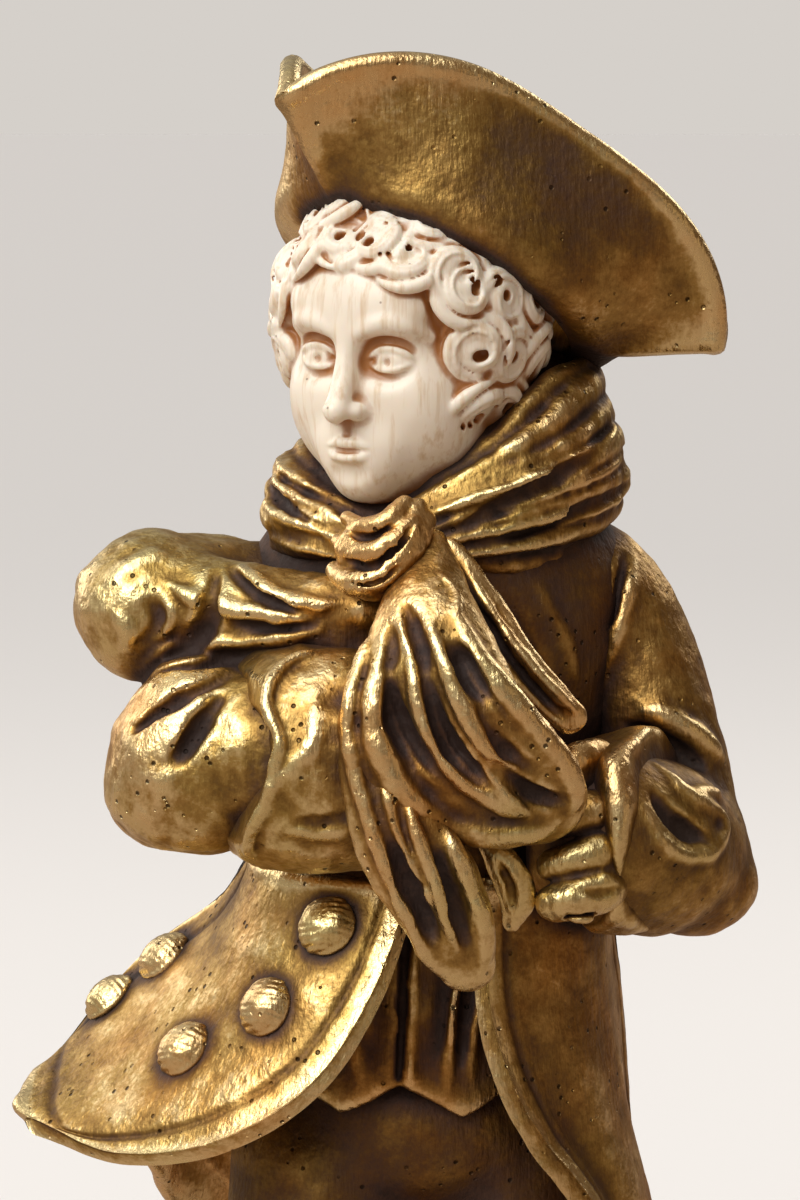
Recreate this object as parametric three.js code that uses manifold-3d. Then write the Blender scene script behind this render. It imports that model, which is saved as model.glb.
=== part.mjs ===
// Standing winter figure in gilt bronze with a carved ivory-coloured head, on a turned marble plinth.
// Millimetres, +Z up. The origin is the centre of the felt's underside, and the chest faces -Y.
// "Right" and "left" are the figure's own: its right arm is on the -X side.
import * as THREE from "three";
import { mergeVertices } from "three/addons/utils/BufferGeometryUtils.js";
import Module from "manifold-3d";

const wasm = await Module();
wasm.setup();

// ---- Driving dimensions ----

const FELT_TOP = 1;
const PLINTH_TOP = 20;
const PLINTH_RADIUS = 33;
const GROUND_TOP = 24;
const WAIST = 128;
const HEAD_CENTRE = [-1.6, -2.6, 172.6];
const HEAD_RADII = [9.4, 11.2, 12.6];
const HEAD_TURN = -32;
const HAT_CENTRE = [0.6, 1.6, 176.8];
const HAT_TURN = -45;
const HAT_TILT = 35;
const CLOTH = 1.6;
const BUTTON_RADIUS = 2.3;
const JOINT_GAP = 0.3;
const PIN_RADIUS = 0.9;

// ---- Materials ----

const finish = (color, roughness, metalness) =>
  new THREE.MeshStandardMaterial({ color, roughness, metalness });
const gilt = finish(0xb8893c, 0.32, 1);
const brass = finish(0xb08d45, 0.4, 1);
const steel = finish(0x8c8c8c, 0.45, 1);
const ivory = finish(0xf0e2c8, 0.38, 0);
const marble = finish(0x35302c, 0.2, 0);
const felt = finish(0x1f4a33, 0.95, 0);

// ---- Geometry helpers ----

const vector = ([x, y, z]) => new THREE.Vector3(x, y, z);
const radians = THREE.MathUtils.degToRad;
const { clamp, lerp, smoothstep } = THREE.MathUtils;
const through = (points) => new THREE.CatmullRomCurve3(points.map(vector));

/** A manifold-3d solid from a closed three.js geometry, facing out whichever way its rings were wound. */
function solid(geometry) {
  const bare = (geometry.index ? geometry.toNonIndexed() : geometry.clone());
  bare.deleteAttribute("normal");
  bare.deleteAttribute("uv");
  const merged = mergeVertices(bare, 1e-4);
  const triVerts = new Uint32Array(merged.index.array);
  const vertProperties = merged.attributes.position.array;
  const mesh = () => new wasm.Mesh({ numProp: 3, vertProperties, triVerts });
  const made = new wasm.Manifold(mesh());
  if (made.volume() > 0) return made;
  for (let i = 0; i < triVerts.length; i += 3) {
    [triVerts[i + 1], triVerts[i + 2]] = [triVerts[i + 2], triVerts[i + 1]];
  }
  return new wasm.Manifold(mesh());
}

/** Moves every vertex of a geometry to where move(vertex) says. */
function reshape(geometry, move) {
  const position = geometry.getAttribute("position");
  for (let i = 0; i < position.count; i++) {
    const moved = move(new THREE.Vector3().fromBufferAttribute(position, i));
    position.setXYZ(i, moved.x, moved.y, moved.z);
  }
  return geometry;
}

/** An ellipsoid, turned about Z and then about X. */
function blob(centre, radii, { turn = 0, lean = 0, sides = 12, grow = 0 } = {}) {
  const ball = new THREE.SphereGeometry(1, sides, Math.round(sides * 0.7));
  ball.scale(radii[0] + grow, radii[1] + grow, radii[2] + grow);
  return solid(ball.rotateX(radians(lean)).rotateZ(radians(turn)).translate(...centre));
}

/** A number from a list of values spread evenly over 0 to 1. */
function between(values, t) {
  const place = clamp(t, 0, 1) * (values.length - 1);
  const i = Math.min(Math.floor(place), values.length - 2);
  return lerp(values[i], values[i + 1], place - i);
}

/** A tapering limb with round ends: a sphere's rings along a curve. flat is thickness over width. */
function limb(points, radii, { flat = 1, face = [0, -1, 0], sides = 12, steps = 10, grow = 0 } = {}) {
  const curve = through(points);
  const capShare = clamp((0.8 * radii[0]) / curve.getLength(), 0.12, 0.3);
  return solid(
    reshape(new THREE.SphereGeometry(1, sides, steps), (v) => {
      const t = (1 - v.y) / 2;
      const ring = Math.hypot(v.x, v.z);
      const toEnd = Math.min(1, Math.min(t, 1 - t) / capShare);
      const cap = ring < 1e-6 ? 0 : Math.sqrt(1 - (1 - toEnd) ** 2);
      const along = curve.getTangent(t);
      const wide = new THREE.Vector3().crossVectors(along, vector(face)).normalize();
      const thick = new THREE.Vector3().crossVectors(wide, along);
      const radius = between(radii, t);
      const stretch = (t - 0.5) * 2 * grow;
      return curve
        .getPoint(t)
        .addScaledVector(along, stretch)
        .addScaledVector(wide, ring ? ((v.x / ring) * cap * (radius + grow)) : 0)
        .addScaledVector(thick, ring ? ((v.z / ring) * cap * (radius * flat + grow)) : 0);
    }),
  );
}

/** A sheet of cloth cast in metal: a box bent over surface(u, v), with u and v from 0 to 1. */
function sheet(surface, { thickness = CLOTH, columns = 10, rows = 10, grow = 0 } = {}) {
  const step = 1e-3;
  return solid(
    reshape(new THREE.BoxGeometry(1, 1, 1, columns, rows, 1), (p) => {
      const u = p.x + 0.5;
      const v = p.y + 0.5;
      const du = surface(u + step, v).sub(surface(u - step, v));
      const dv = surface(u, v + step).sub(surface(u, v - step));
      const out = new THREE.Vector3().crossVectors(du, dv).normalize();
      const edge = (share, length) => ((share - 0.5) * 2 * grow) / Math.max(length, 1);
      const around = surface(u + edge(u, du.length() / step / 2), v + edge(v, dv.length() / step / 2));
      return around.addScaledVector(out, p.z * (thickness + 2 * grow));
    }),
  );
}

/** A rod with flat ends, from one point to another. */
function rod(from, to, radius, sides = 12) {
  const [a, b] = [vector(from), vector(to)];
  const along = new THREE.Vector3().subVectors(b, a);
  const cylinder = new THREE.CylinderGeometry(radius, radius, along.length(), sides);
  const up = new THREE.Vector3(0, 1, 0);
  const turn = new THREE.Quaternion().setFromUnitVectors(up, along.clone().normalize());
  return solid(cylinder.applyQuaternion(turn).translate(...a.lerp(b, 0.5)));
}

/** A piece turned about Z, from a profile of [radius, height] points that closes on the axis. */
function turned(profile, sides = 36) {
  const outline = profile.map(([r, z]) => new THREE.Vector2(r, z));
  return solid(new THREE.LatheGeometry(outline, sides).rotateX(Math.PI / 2));
}

const joined = (...solids) => solids.reduce((all, next) => all.add(next));
const cut = (body, ...tools) => tools.reduce((left, tool) => left.subtract(tool), body);

/** The largest body of a solid, because a cut can leave slivers beside it. */
const main = (body) => body.decompose().sort((a, b) => b.volume() - a.volume())[0];

// ---- Plinth and its fixing ----

const STUD_RADIUS = 1.5;
const WELL = { radius: 6, top: 8 };

function feltPad() {
  const radius = PLINTH_RADIUS - 1.5;
  return turned([[0, 0], [radius, 0], [radius, FELT_TOP], [0, FELT_TOP]]);
}

function plinth() {
  const outline = new THREE.Path().moveTo(0, FELT_TOP).lineTo(PLINTH_RADIUS - 0.8, FELT_TOP);
  outline.quadraticCurveTo(PLINTH_RADIUS, FELT_TOP, PLINTH_RADIUS, FELT_TOP + 0.8);
  outline.lineTo(PLINTH_RADIUS, 6.2).quadraticCurveTo(PLINTH_RADIUS, 7, PLINTH_RADIUS - 0.9, 7);
  outline.lineTo(PLINTH_RADIUS - 1.4, 7.4);
  outline.quadraticCurveTo(PLINTH_RADIUS - 5.6, 8.6, PLINTH_RADIUS - 5.4, 14);
  outline.quadraticCurveTo(PLINTH_RADIUS - 2.4, 14.6, PLINTH_RADIUS - 2.4, 17);
  outline.quadraticCurveTo(PLINTH_RADIUS - 2.4, PLINTH_TOP - 0.2, PLINTH_RADIUS - 4.4, PLINTH_TOP);
  outline.lineTo(0, PLINTH_TOP);
  const body = turned(outline.getPoints(2).map((p) => [p.x, p.y]));
  const well = rod([0, 0, FELT_TOP - 1], [0, 0, WELL.top], WELL.radius, 18);
  const pinHole = rod([14, 0, PLINTH_TOP - 5], [14, 0, PLINTH_TOP + 1], PIN_RADIUS + JOINT_GAP);
  return cut(body, well, studBore(), pinHole);
}

const studBore = () => rod([0, 0, 0], [0, 0, PLINTH_TOP + 1], STUD_RADIUS + JOINT_GAP);
const washer = () => cut(rod([0, 0, 7], [0, 0, WELL.top], 4.5, 18), studBore());
const nut = () => cut(rod([0, 0, 4.2], [0, 0, 7], 3.6, 6), studBore());
const stud = () => rod([0, 0, 3], [0, 0, GROUND_TOP - 0.8], STUD_RADIUS);
const locatingPin = () => rod([14, 0, PLINTH_TOP - 4.5], [14, 0, GROUND_TOP - 1.4], PIN_RADIUS);

/** The cast ground under the shoes: a low uneven disc with sockets for the stud and the pin. */
function ground() {
  const rim = 25;
  const disc = new THREE.CylinderGeometry(rim - 1.2, rim, GROUND_TOP - PLINTH_TOP, 40, 1);
  disc.rotateX(Math.PI / 2).translate(0, 0, (GROUND_TOP + PLINTH_TOP) / 2);
  const uneven = reshape(disc, (v) => {
    const round = Math.atan2(v.y, v.x);
    const swell = 1 + 0.02 * Math.sin(3 * round + 1) + 0.012 * Math.sin(7 * round);
    return v.set(v.x * swell, v.y * swell, v.z);
  });
  const studHole = rod([0, 0, PLINTH_TOP - 1], [0, 0, GROUND_TOP - 0.5], STUD_RADIUS + JOINT_GAP);
  const pinHole = rod([14, 0, PLINTH_TOP - 1], [14, 0, GROUND_TOP - 1], PIN_RADIUS + JOINT_GAP);
  return cut(solid(uneven), studHole, pinHole);
}

// ---- Legs ----

const LEGS = {
  right: {
    hip: [-8.5, -1, 101],
    knee: [-11.5, -5, 72],
    calf: [-11.5, -1.5, 54],
    ankle: [-12, 1.5, 33],
    toe: [-16, -12, 27],
  },
  left: {
    hip: [6.5, 1, 101],
    knee: [8, -1.5, 72],
    calf: [9, 3, 54],
    ankle: [10, 5.5, 33],
    toe: [14.5, -7.5, 27],
  },
};

/** Stocking, knee and buckled shoe, cast as one. */
function leg(side) {
  const { knee, calf, ankle, toe } = LEGS[side];
  const top = [knee[0], knee[1] + 0.4, knee[2] + 8];
  const heel = [ankle[0], ankle[1] + 1.6, 27.5];
  const stocking = limb([top, knee, calf, ankle, [ankle[0], ankle[1], 26]], [4.4, 4.5, 5, 4.4, 3.1, 3.2]);
  const sole = { flat: 0.8, face: [0, 0, 1], steps: 8 };
  const shoe = limb([heel, lerpPoint(heel, toe, 0.5), toe], [3, 3.7, 3.9, 2.4], sole);
  const block = rod([heel[0], heel[1], GROUND_TOP], [heel[0], heel[1], 27], 2.6);
  const above = new THREE.BoxGeometry(60, 60, 60).translate(0, 0, GROUND_TOP + 30);
  return joined(stocking, shoe, block).intersect(solid(above));
}

const lerpPoint = (a, b, t) => a.map((value, i) => lerp(value, b[i], t));

/** A shoe buckle: an oval ring over the instep, clear of the shoe. */
function buckle(side) {
  const { ankle, toe } = LEGS[side];
  const [x, y] = lerpPoint(ankle, toe, 0.52);
  const ring = new THREE.TorusGeometry(1.9, 0.5, 5, 12).scale(1.15, 0.85, 1);
  const heading = Math.atan2(toe[1] - ankle[1], toe[0] - ankle[0]) + Math.PI / 2;
  ring.rotateX(radians(24)).rotateZ(heading).translate(x, y, 31);
  return cut(solid(ring), leg(side));
}

/** Seat and thighs of the breeches, down to the knee bands. */
function breeches(grow = 0) {
  const seat = blob([-0.8, 0.6, 106.5], [13.2, 10.2, 9.5], { grow });
  const thighs = ["right", "left"].map((side) => {
    const { hip, knee } = LEGS[side];
    const foot = [knee[0], knee[1], knee[2] + 2];
    return limb([hip, lerpPoint(hip, foot, 0.5), foot], [8.6, 8.2, 7, 6.2, 5.8], { grow });
  });
  return joined(seat, ...thighs);
}

// ---- Trunk ----

const torso = (grow = 0) => limb(
  [[-0.8, 0.4, WAIST - 10], [-0.2, 0.4, 134], [0.6, 0.4, 146], [0.8, 0.6, 157]],
  [14.2, 14.2, 14.4, 15.4, 16.2, 15.8, 11],
  { flat: 0.78, sides: 18, steps: 12, grow },
);

const coatBodice = () => {
  const keep = solid(new THREE.BoxGeometry(80, 80, 40).translate(0, 0, WAIST + 20));
  const neckHole = rod([0.6, -0.6, 150], [0.6, -0.6, 170], 2.2);
  return cut(torso().intersect(keep), neckHole);
};

/** Waistcoat front and back below the coat's waist seam, over the breeches. */
function waistcoat() {
  const [hem, seam] = [108, WAIST - JOINT_GAP];
  const spine = [[-0.8, -0.2, 106], [-0.6, 0, 116], [-0.5, 0.2, WAIST + 4]];
  const shape = limb(spine, [13.2, 14.2, 13.6, 13], { flat: 0.8, sides: 18 });
  const keep = solid(new THREE.BoxGeometry(80, 80, seam - hem).translate(0, 0, (seam + hem) / 2));
  return cut(shape.intersect(keep), breeches(JOINT_GAP));
}

// ---- Coat skirts ----
// Each line runs from the waist seam to the hem. Neighbouring panels share a line, less a seam gap.

const SKIRT_LINES = {
  rightFront: through([
    [-1.2, -12.6, 127.4], [-4.4, -16.6, 119.6], [-9.5, -18.4, 112],
    [-17, -17.4, 107], [-26, -12.5, 104.6], [-34, -5, 105.6],
  ]),
  rightSide: through([[-14.8, 0.4, 127.4], [-17.5, 3, 123.6], [-24.5, 6.5, 117.6], [-32.5, 4, 108.6]]),
  backRight: through([[-0.8, 11.8, 127.4], [-2.5, 17, 115], [-7, 21.5, 98], [-12, 24, 82]]),
  backLeft: through([[-0.2, 11.8, 127.4], [2, 16.5, 115], [3.5, 19.5, 98], [4.5, 21, 79]]),
  leftSide: through([[14.2, 0.5, 127.4], [16, 3, 115], [17.4, 5, 98], [19.6, 6, 79]]),
  leftFront: through([
    [4.4, -12.2, 127.4], [4.6, -14.4, 117], [8, -15.2, 108], [14.5, -13, 98], [20, -7, 80],
  ]),
};

/** A skirt panel between two lines, bulging away from the body axis and rippling towards the hem. */
function skirtPanel(first, last, { bulge, waves = 0, grow = 0 }) {
  const seam = 0.012;
  return sheet(
    (u, v) => {
      const share = lerp(seam, 1 - seam, u);
      const a = SKIRT_LINES[first].getPoint(clamp(v, 0, 1));
      const b = SKIRT_LINES[last].getPoint(clamp(v, 0, 1));
      const point = a.lerp(b, share);
      const out = new THREE.Vector3(point.x, point.y, 0).normalize();
      const swell = bulge * Math.sin(Math.PI * share) * (1 - 0.6 * v * v);
      return point.addScaledVector(out, swell + waves * v * Math.sin(3 * Math.PI * share));
    },
    { columns: 6, rows: 8, grow },
  );
}

const FRONT_BULGE = 4.2;
const SKIRTS = {
  skirt_right_front: ["rightFront", "rightSide", { bulge: FRONT_BULGE }],
  skirt_right_back: ["rightSide", "backRight", { bulge: 4.5, waves: 1.4 }],
  skirt_left_back: ["backLeft", "leftSide", { bulge: 4, waves: 1.2 }],
  skirt_left_front: ["leftSide", "leftFront", { bulge: 3.6 }],
};
const skirt = (name, grow = 0) => {
  const [first, last, shape] = SKIRTS[name];
  return skirtPanel(first, last, { ...shape, grow });
};

/** Where a button sits: shares along the right front panel, from its front edge and from the waist. */
const BUTTON_PLACES = [[0.3, 0.1], [0.34, 0.33], [0.42, 0.53], [0.86, 0.55], [0.88, 0.75]];

function button(index) {
  const [u, v] = BUTTON_PLACES[index];
  const point = (a, b) => {
    const from = SKIRT_LINES.rightFront.getPoint(b);
    const place = from.lerp(SKIRT_LINES.rightSide.getPoint(b), a);
    const out = new THREE.Vector3(place.x, place.y, 0).normalize();
    return place.addScaledVector(out, FRONT_BULGE * Math.sin(Math.PI * a) * (1 - 0.6 * b * b));
  };
  const step = 1e-3;
  const du = point(u + step, v).sub(point(u - step, v));
  const dv = point(u, v + step).sub(point(u, v - step));
  const out = new THREE.Vector3().crossVectors(dv, du).normalize();
  if (out.dot(new THREE.Vector3(-0.5, -1, 0)) < 0) out.negate();
  const dome = new THREE.SphereGeometry(BUTTON_RADIUS, 10, 7).scale(1, 1, 0.75);
  const turn = new THREE.Quaternion().setFromUnitVectors(new THREE.Vector3(0, 0, 1), out);
  const centre = point(u, v).addScaledVector(out, CLOTH / 2 + 0.4);
  dome.applyQuaternion(turn).translate(...centre);
  return main(cut(solid(dome), skirt("skirt_right_front", JOINT_GAP / 2)));
}

// ---- Sleeves, cuffs and hands ----

const ARMS = {
  rightUpper: [[-9, 2, 152], [-17, 0.5, 152.8], [-25, -2.5, 152], [-28.4, -5, 148.5]],
  rightFore: [[-25, -2, 148], [-23, -8.5, 141.5], [-16, -13, 139.6], [-5, -17, 139]],
  leftUpper: [[12, 2, 156], [17, 1, 148.5], [20.4, -1, 139], [21.4, -3, 129]],
  leftFore: [[25, -3, 128.6], [20.6, -8, 130.4], [13, -14, 133]],
};

const rightSleeve = (grow = 0) => joined(
  limb(ARMS.rightUpper, [5.6, 6.2, 6.6, 6.2], { grow, steps: 12 }),
  limb(ARMS.rightFore, [6.6, 8.4, 8, 6.4, 5], { grow, steps: 12 }),
);
const leftSleeve = (grow = 0) => joined(
  limb(ARMS.leftUpper, [5, 5.8, 5.8, 5.8], { grow, steps: 12 }),
  limb(ARMS.leftFore, [6, 7.4, 7.6, 7], { grow }),
);
const rightCuff = (grow = 0) => limb(
  [[-14.6, -14.6, 139], [-11, -17, 138.4], [-4, -19, 138.6]],
  [9.2, 9.6, 9, 7.8], { flat: 0.72, grow },
);
const leftCuff = (grow = 0) => limb(
  [[17.2, -11.8, 132.8], [15.6, -13.8, 133.2], [14.4, -15.2, 133.4]],
  [8.2, 8.6, 8.2], { flat: 0.8, grow, steps: 8 },
);
const leftHand = (grow = 0) => joined(
  blob([12.8, -17.4, 136], [3.4, 4.2, 6.4], { turn: 20, sides: 10, grow }),
  ...[0, 1, 2, 3].map((finger) => {
    const height = 134.6 - 2.5 * finger;
    const reach = [0, 0.5, 0.3, -0.8][finger];
    return limb(
      [[14, -18.4, height + 0.5], [11.4 - reach, -20.6, height], [8.8 - reach, -19.6, height - 0.4]],
      [1.4, 1.45, 1.3], { sides: 8, steps: 6, grow },
    );
  }),
);
const rightHand = (grow = 0) => limb(
  [[-3, -17.6, 139], [1, -18.4, 138], [6.4, -17, 136.6]],
  [4.2, 4.4, 3.4, 2.6], { flat: 0.55, grow },
);

// ---- Scarf ----

/** The muffler round the neck: a fat ring whose top edge dips under the chin. */
function scarfWrap(grow = 0) {
  const centre = [1, 0.4];
  const inner = [[8.6, 155], [8.4, 165.6], [10.6, 168.8]];
  const outer = [[13.6, 168.4], [15.4, 164.4], [15.9, 159.6], [15.2, 155.4], [12, 153.4]];
  const profile = [...inner, ...outer];
  const grown = profile.map(([r, z]) => [r + Math.sign(r - 10) * grow, z + Math.sign(z - 160) * grow]);
  const ring = new THREE.LatheGeometry([...grown, grown[0]].map(([r, z]) => new THREE.Vector2(r, z)), 24);
  return solid(
    reshape(ring.rotateX(Math.PI / 2), (v) => {
      const around = Math.atan2(v.y, v.x);
      const front = Math.max(0, Math.cos(around - radians(-108))) ** 2;
      const rise = clamp((v.z - 156) / 12, 0, 1);
      const dip = 6.6 * front - 1.4 * Math.max(0, Math.cos(around - radians(-10)));
      return v.set(centre[0] + v.x, centre[1] + v.y * 0.9, v.z - dip * rise);
    }),
  );
}
const scarfKnot = (grow = 0) => joined(
  blob([-3.7, -15, 156.6], [4.6, 3, 3.2], { turn: -8, grow }),
  limb([[-7.6, -14, 156.4], [-4, -16.6, 154.4], [0.2, -15, 158]], [1.4, 2, 1.7], { grow, steps: 10 }),
);
const tailFront = (grow = 0) => limb(
  [[-2, -16, 154.4], [-0.6, -19.4, 149.4], [1.8, -22.6, 142], [5.4, -24, 136.4], [10.4, -22.6, 132.4]],
  [2.6, 5, 8, 8.4, 6.4, 4], { flat: 0.42, grow, sides: 14 },
);
const tailLower = (grow = 0) => limb(
  [[-2.6, -20, 140.4], [-0.6, -23.6, 134], [1.6, -24.2, 128], [3.6, -23, 121]],
  [3.4, 5.2, 5.2, 3.4], { flat: 0.46, grow },
);
const tailSide = (grow = 0) => limb(
  [[2, -14.6, 155], [5.6, -15.6, 151], [9.6, -17, 146], [13.6, -17.4, 141.6]],
  [1.6, 2, 2, 1.6], { flat: 0.6, grow, sides: 10 },
);

// ---- Head and hat ----

/** Moves a point from the head's own frame, which faces -Y, to its place on the figure. */
const onHead = (v) => v
  .applyAxisAngle(new THREE.Vector3(0, 0, 1), radians(HEAD_TURN))
  .add(vector(HEAD_CENTRE));

/** Skull: an egg that narrows to the chin. */
function skull(grow = 0) {
  const [wide, deep, tall] = HEAD_RADII;
  const chin = onHead(new THREE.Vector3(0, -6.6, 2 - tall)).toArray();
  const egg = solid(
    reshape(new THREE.SphereGeometry(1, 18, 12).rotateX(Math.PI / 2), (v) => {
      const low = Math.max(0, -v.z);
      const narrow = 1 - 0.34 * low ** 2;
      const back = v.y > 0 ? 1 - 0.3 * low ** 1.5 : 1;
      const [x, y, z] = [v.x * (wide + grow) * narrow, v.y * (deep + grow) * back, v.z * (tall + grow)];
      return onHead(new THREE.Vector3(x, y, z));
    }),
  );
  return joined(egg, blob(chin, [2.8, 2.4, 2.1], { turn: HEAD_TURN, sides: 8, grow }));
}

// A plain face by the rule of thirds: hairline, brow, nose and chin are each FACE_THIRD apart.
const BROW = 1.4;
const FACE_THIRD = 7;
const EYE_SPREAD = 3.3;

function features() {
  const on = (x, y, z) => onHead(new THREE.Vector3(x, y, z)).toArray();
  const noseBase = BROW - FACE_THIRD;
  const mouth = noseBase - FACE_THIRD / 3;
  const nose = limb(
    [on(0, -10.4, BROW), on(0, -11.5, -2), on(0, -11.7, noseBase)],
    [0.8, 0.9, 1.5], { sides: 8, steps: 6 },
  );
  const eyes = [-1, 1].flatMap((side) => [
    blob(on(side * EYE_SPREAD, -9.5, BROW - 2), [1.5, 1, 0.9], { turn: HEAD_TURN, sides: 8 }),
    limb(
      [on(side * 1.3, -10.3, BROW), on(side * EYE_SPREAD, -10, BROW + 0.7), on(side * 5.6, -8.6, BROW)],
      [0.5, 0.6, 0.5], { sides: 6, steps: 5 },
    ),
  ]);
  const lips = [0.35, -0.45].map((drop) => limb(
    [on(-2.1, -8.5, mouth + drop), on(0, -9.3, mouth + drop), on(2.1, -8.5, mouth + drop)],
    [0.45, 0.6, 0.45], { sides: 6, steps: 5 },
  ));
  return joined(nose, ...eyes, ...lips);
}

/** The curls: angle from the face, positive to the figure's left, and height over the head's centre. */
const CURLS = [
  [-38, 8.6], [-17, 9.4], [5, 9.6], [27, 8.8], [46, 6.6], [60, 3.6], [68, 0], [73, -3.8],
  [-53, 5.8], [-63, 1.6], [-69, -2.8],
  [90, 2.4], [96, -2.4], [-92, -0.6],
  [120, -1.6], [148, -2.4], [178, -3], [-150, -2.4], [-120, -1.6],
];

function hair(grow = 0) {
  const curls = CURLS.map(([angle, height]) => {
    const level = Math.sqrt(Math.max(0.1, 1 - (height / 14.5) ** 2));
    const [wide, deep] = [HEAD_RADII[0] + 1.2, HEAD_RADII[1] - 0.2];
    const around = radians(angle);
    const [x, y] = [Math.sin(around) * wide * level, -Math.cos(around) * deep * level];
    const place = new THREE.Vector3(x, y, height);
    return blob(onHead(place).toArray(), [2.8, 2.8, 2.5], { sides: 7, grow });
  });
  const middle = onHead(new THREE.Vector3(0, 2, 1.5)).toArray();
  const cap = blob(middle, [10.4, 10, 10.6], { turn: HEAD_TURN, sides: 14, grow });
  return joined(cap, ...curls);
}

const neckStump = (grow) => limb([[-1.2, -2, 164], [-0.4, -1.2, 157.6]], [6.4, 6], { steps: 8, grow });
const head = (grow = 0) => joined(skull(grow), hair(grow), neckStump(grow));

/** The head carving, cut flat for the hat and drilled for the two dowels. */
function headPiece() {
  const neckBore = rod([-0.2, -1, 150], [-0.8, -1.6, 164.6], PIN_RADIUS + JOINT_GAP);
  const hatBore = rod(hatPoint(0, 0, 2), hatPoint(0, 0, 30), PIN_RADIUS + JOINT_GAP);
  return cut(head().add(features()), neckBore, hatBore);
}
const neckDowel = () => rod([-0.15, -0.95, 151.4], [-0.78, -1.58, 164], PIN_RADIUS);

const HAT = (() => {
  const turn = new THREE.Matrix4().makeRotationZ(radians(HAT_TURN));
  const tilt = radians(HAT_TILT);
  const front = new THREE.Vector3(0, -Math.cos(tilt), Math.sin(tilt)).applyMatrix4(turn);
  const left = new THREE.Vector3(1, 0, 0).applyMatrix4(turn);
  return { front, left, up: new THREE.Vector3().crossVectors(front, left) };
})();

/** A point in the hat's own frame: a to its front corner, b to its left, c up through the crown. */
const hatPoint = (a, b, c) => vector(HAT_CENTRE)
  .addScaledVector(HAT.front, a)
  .addScaledVector(HAT.left, b)
  .addScaledVector(HAT.up, c)
  .toArray();

const BRIM_START = 12.6;
const BRIM_WIDTH = 12;
const CORNERS = [-125, 0, 125, 235];

/** How far a brim angle is into its turned-up panel: 0 at a corner and 1 from there to the middle. */
function panelShare(angle) {
  const turn = angle < -125 ? angle + 360 : angle;
  const i = CORNERS.findLastIndex((corner) => turn >= corner);
  const t = clamp((turn - CORNERS[i]) / (CORNERS[i + 1] - CORNERS[i]), 0, 1);
  return Math.sin(Math.PI * t) ** 0.62;
}

/** The brim's line at an angle, a distance out from the crown: radius, height and slope. */
function brimAt(angle, distance) {
  const share = panelShare(angle);
  const rise = radians(lerp(16, 88, share));
  const reach = distance * lerp(0.98, 1.2, share);
  const steps = 8;
  let [radius, height, slope] = [BRIM_START, 0, 0];
  for (let i = 0; i < steps; i++) {
    slope = rise * smoothstep(((i + 0.5) / steps) * reach, 0, 4);
    radius += (Math.cos(slope) * reach) / steps;
    height += (Math.sin(slope) * reach) / steps;
  }
  return { radius, height, slope };
}

function hat() {
  const half = 0.65;
  const crown = [[0, 11.6], [5, 11], [9.4, 8.2], [11.6, 3.6], [12, half]];
  const brim = [0, 2, 4.5, 8, 12].map((d) => BRIM_START + d);
  const upper = brim.map((r) => [r, half]);
  const lower = brim.toReversed().map((r) => [r, -half]);
  const profile = [...crown, ...upper, ...lower, [0, -half]];
  const shape = new THREE.LatheGeometry(profile.map(([r, z]) => new THREE.Vector2(r, z)), 38);
  const body = solid(
    reshape(shape, (v) => {
      const radius = Math.hypot(v.x, v.z);
      const around = Math.atan2(v.x, v.z);
      let [out, height] = [radius, v.y];
      if (radius > BRIM_START - 1e-3) {
        const line = brimAt(THREE.MathUtils.radToDeg(around), radius - BRIM_START);
        out = line.radius - Math.sin(line.slope) * v.y;
        height = line.height + Math.cos(line.slope) * v.y;
      }
      return vector(hatPoint(Math.cos(around) * out, Math.sin(around) * out, height));
    }),
  );
  return main(cut(body, head(JOINT_GAP), rod(hatPoint(0, 0, 0), hatPoint(0, 0, 10.6), PIN_RADIUS + JOINT_GAP)));
}
const hatPin = () => rod(hatPoint(0, 0, 2.4), hatPoint(0, 0, 10.2), PIN_RADIUS);

// ---- Assembly ----

const figure = new THREE.Group();

function add(name, body, material) {
  const { numProp, vertProperties, triVerts } = body.getMesh();
  const positions = new Float32Array((vertProperties.length / numProp) * 3);
  for (let i = 0; i < positions.length / 3; i++) {
    positions.set(vertProperties.subarray(i * numProp, i * numProp + 3), i * 3);
  }
  const geometry = new THREE.BufferGeometry();
  geometry.setAttribute("position", new THREE.BufferAttribute(positions, 3));
  geometry.setIndex(new THREE.BufferAttribute(triVerts, 1));
  geometry.computeVertexNormals();
  const mesh = new THREE.Mesh(geometry, material.clone());
  mesh.name = name;
  figure.add(mesh);
}

const GAP = JOINT_GAP;

add("felt_pad", feltPad(), felt);
add("plinth", plinth(), marble);
add("fixing_stud", stud(), steel);
add("fixing_washer", washer(), steel);
add("fixing_nut", nut(), steel);
add("locating_pin", locatingPin(), steel);
add("ground", ground(), gilt);

for (const side of ["right", "left"]) {
  add(`${side}_leg`, main(cut(leg(side), breeches(GAP))), gilt);
  add(`${side}_shoe_buckle`, main(buckle(side)), gilt);
}
const skirtNames = Object.keys(SKIRTS);
const grownSkirts = joined(...skirtNames.map((name) => skirt(name, GAP)));
add("breeches", main(cut(breeches(), grownSkirts)), gilt);
add("waistcoat", main(cut(waistcoat(), grownSkirts)), gilt);
skirtNames.forEach((name, i) => {
  const earlier = skirtNames.slice(0, i).map((other) => skirt(other, GAP));
  add(name, main(cut(skirt(name), ...earlier)), gilt);
});
BUTTON_PLACES.forEach((_, i) => add(`coat_button_${i + 1}`, button(i), gilt));

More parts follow.
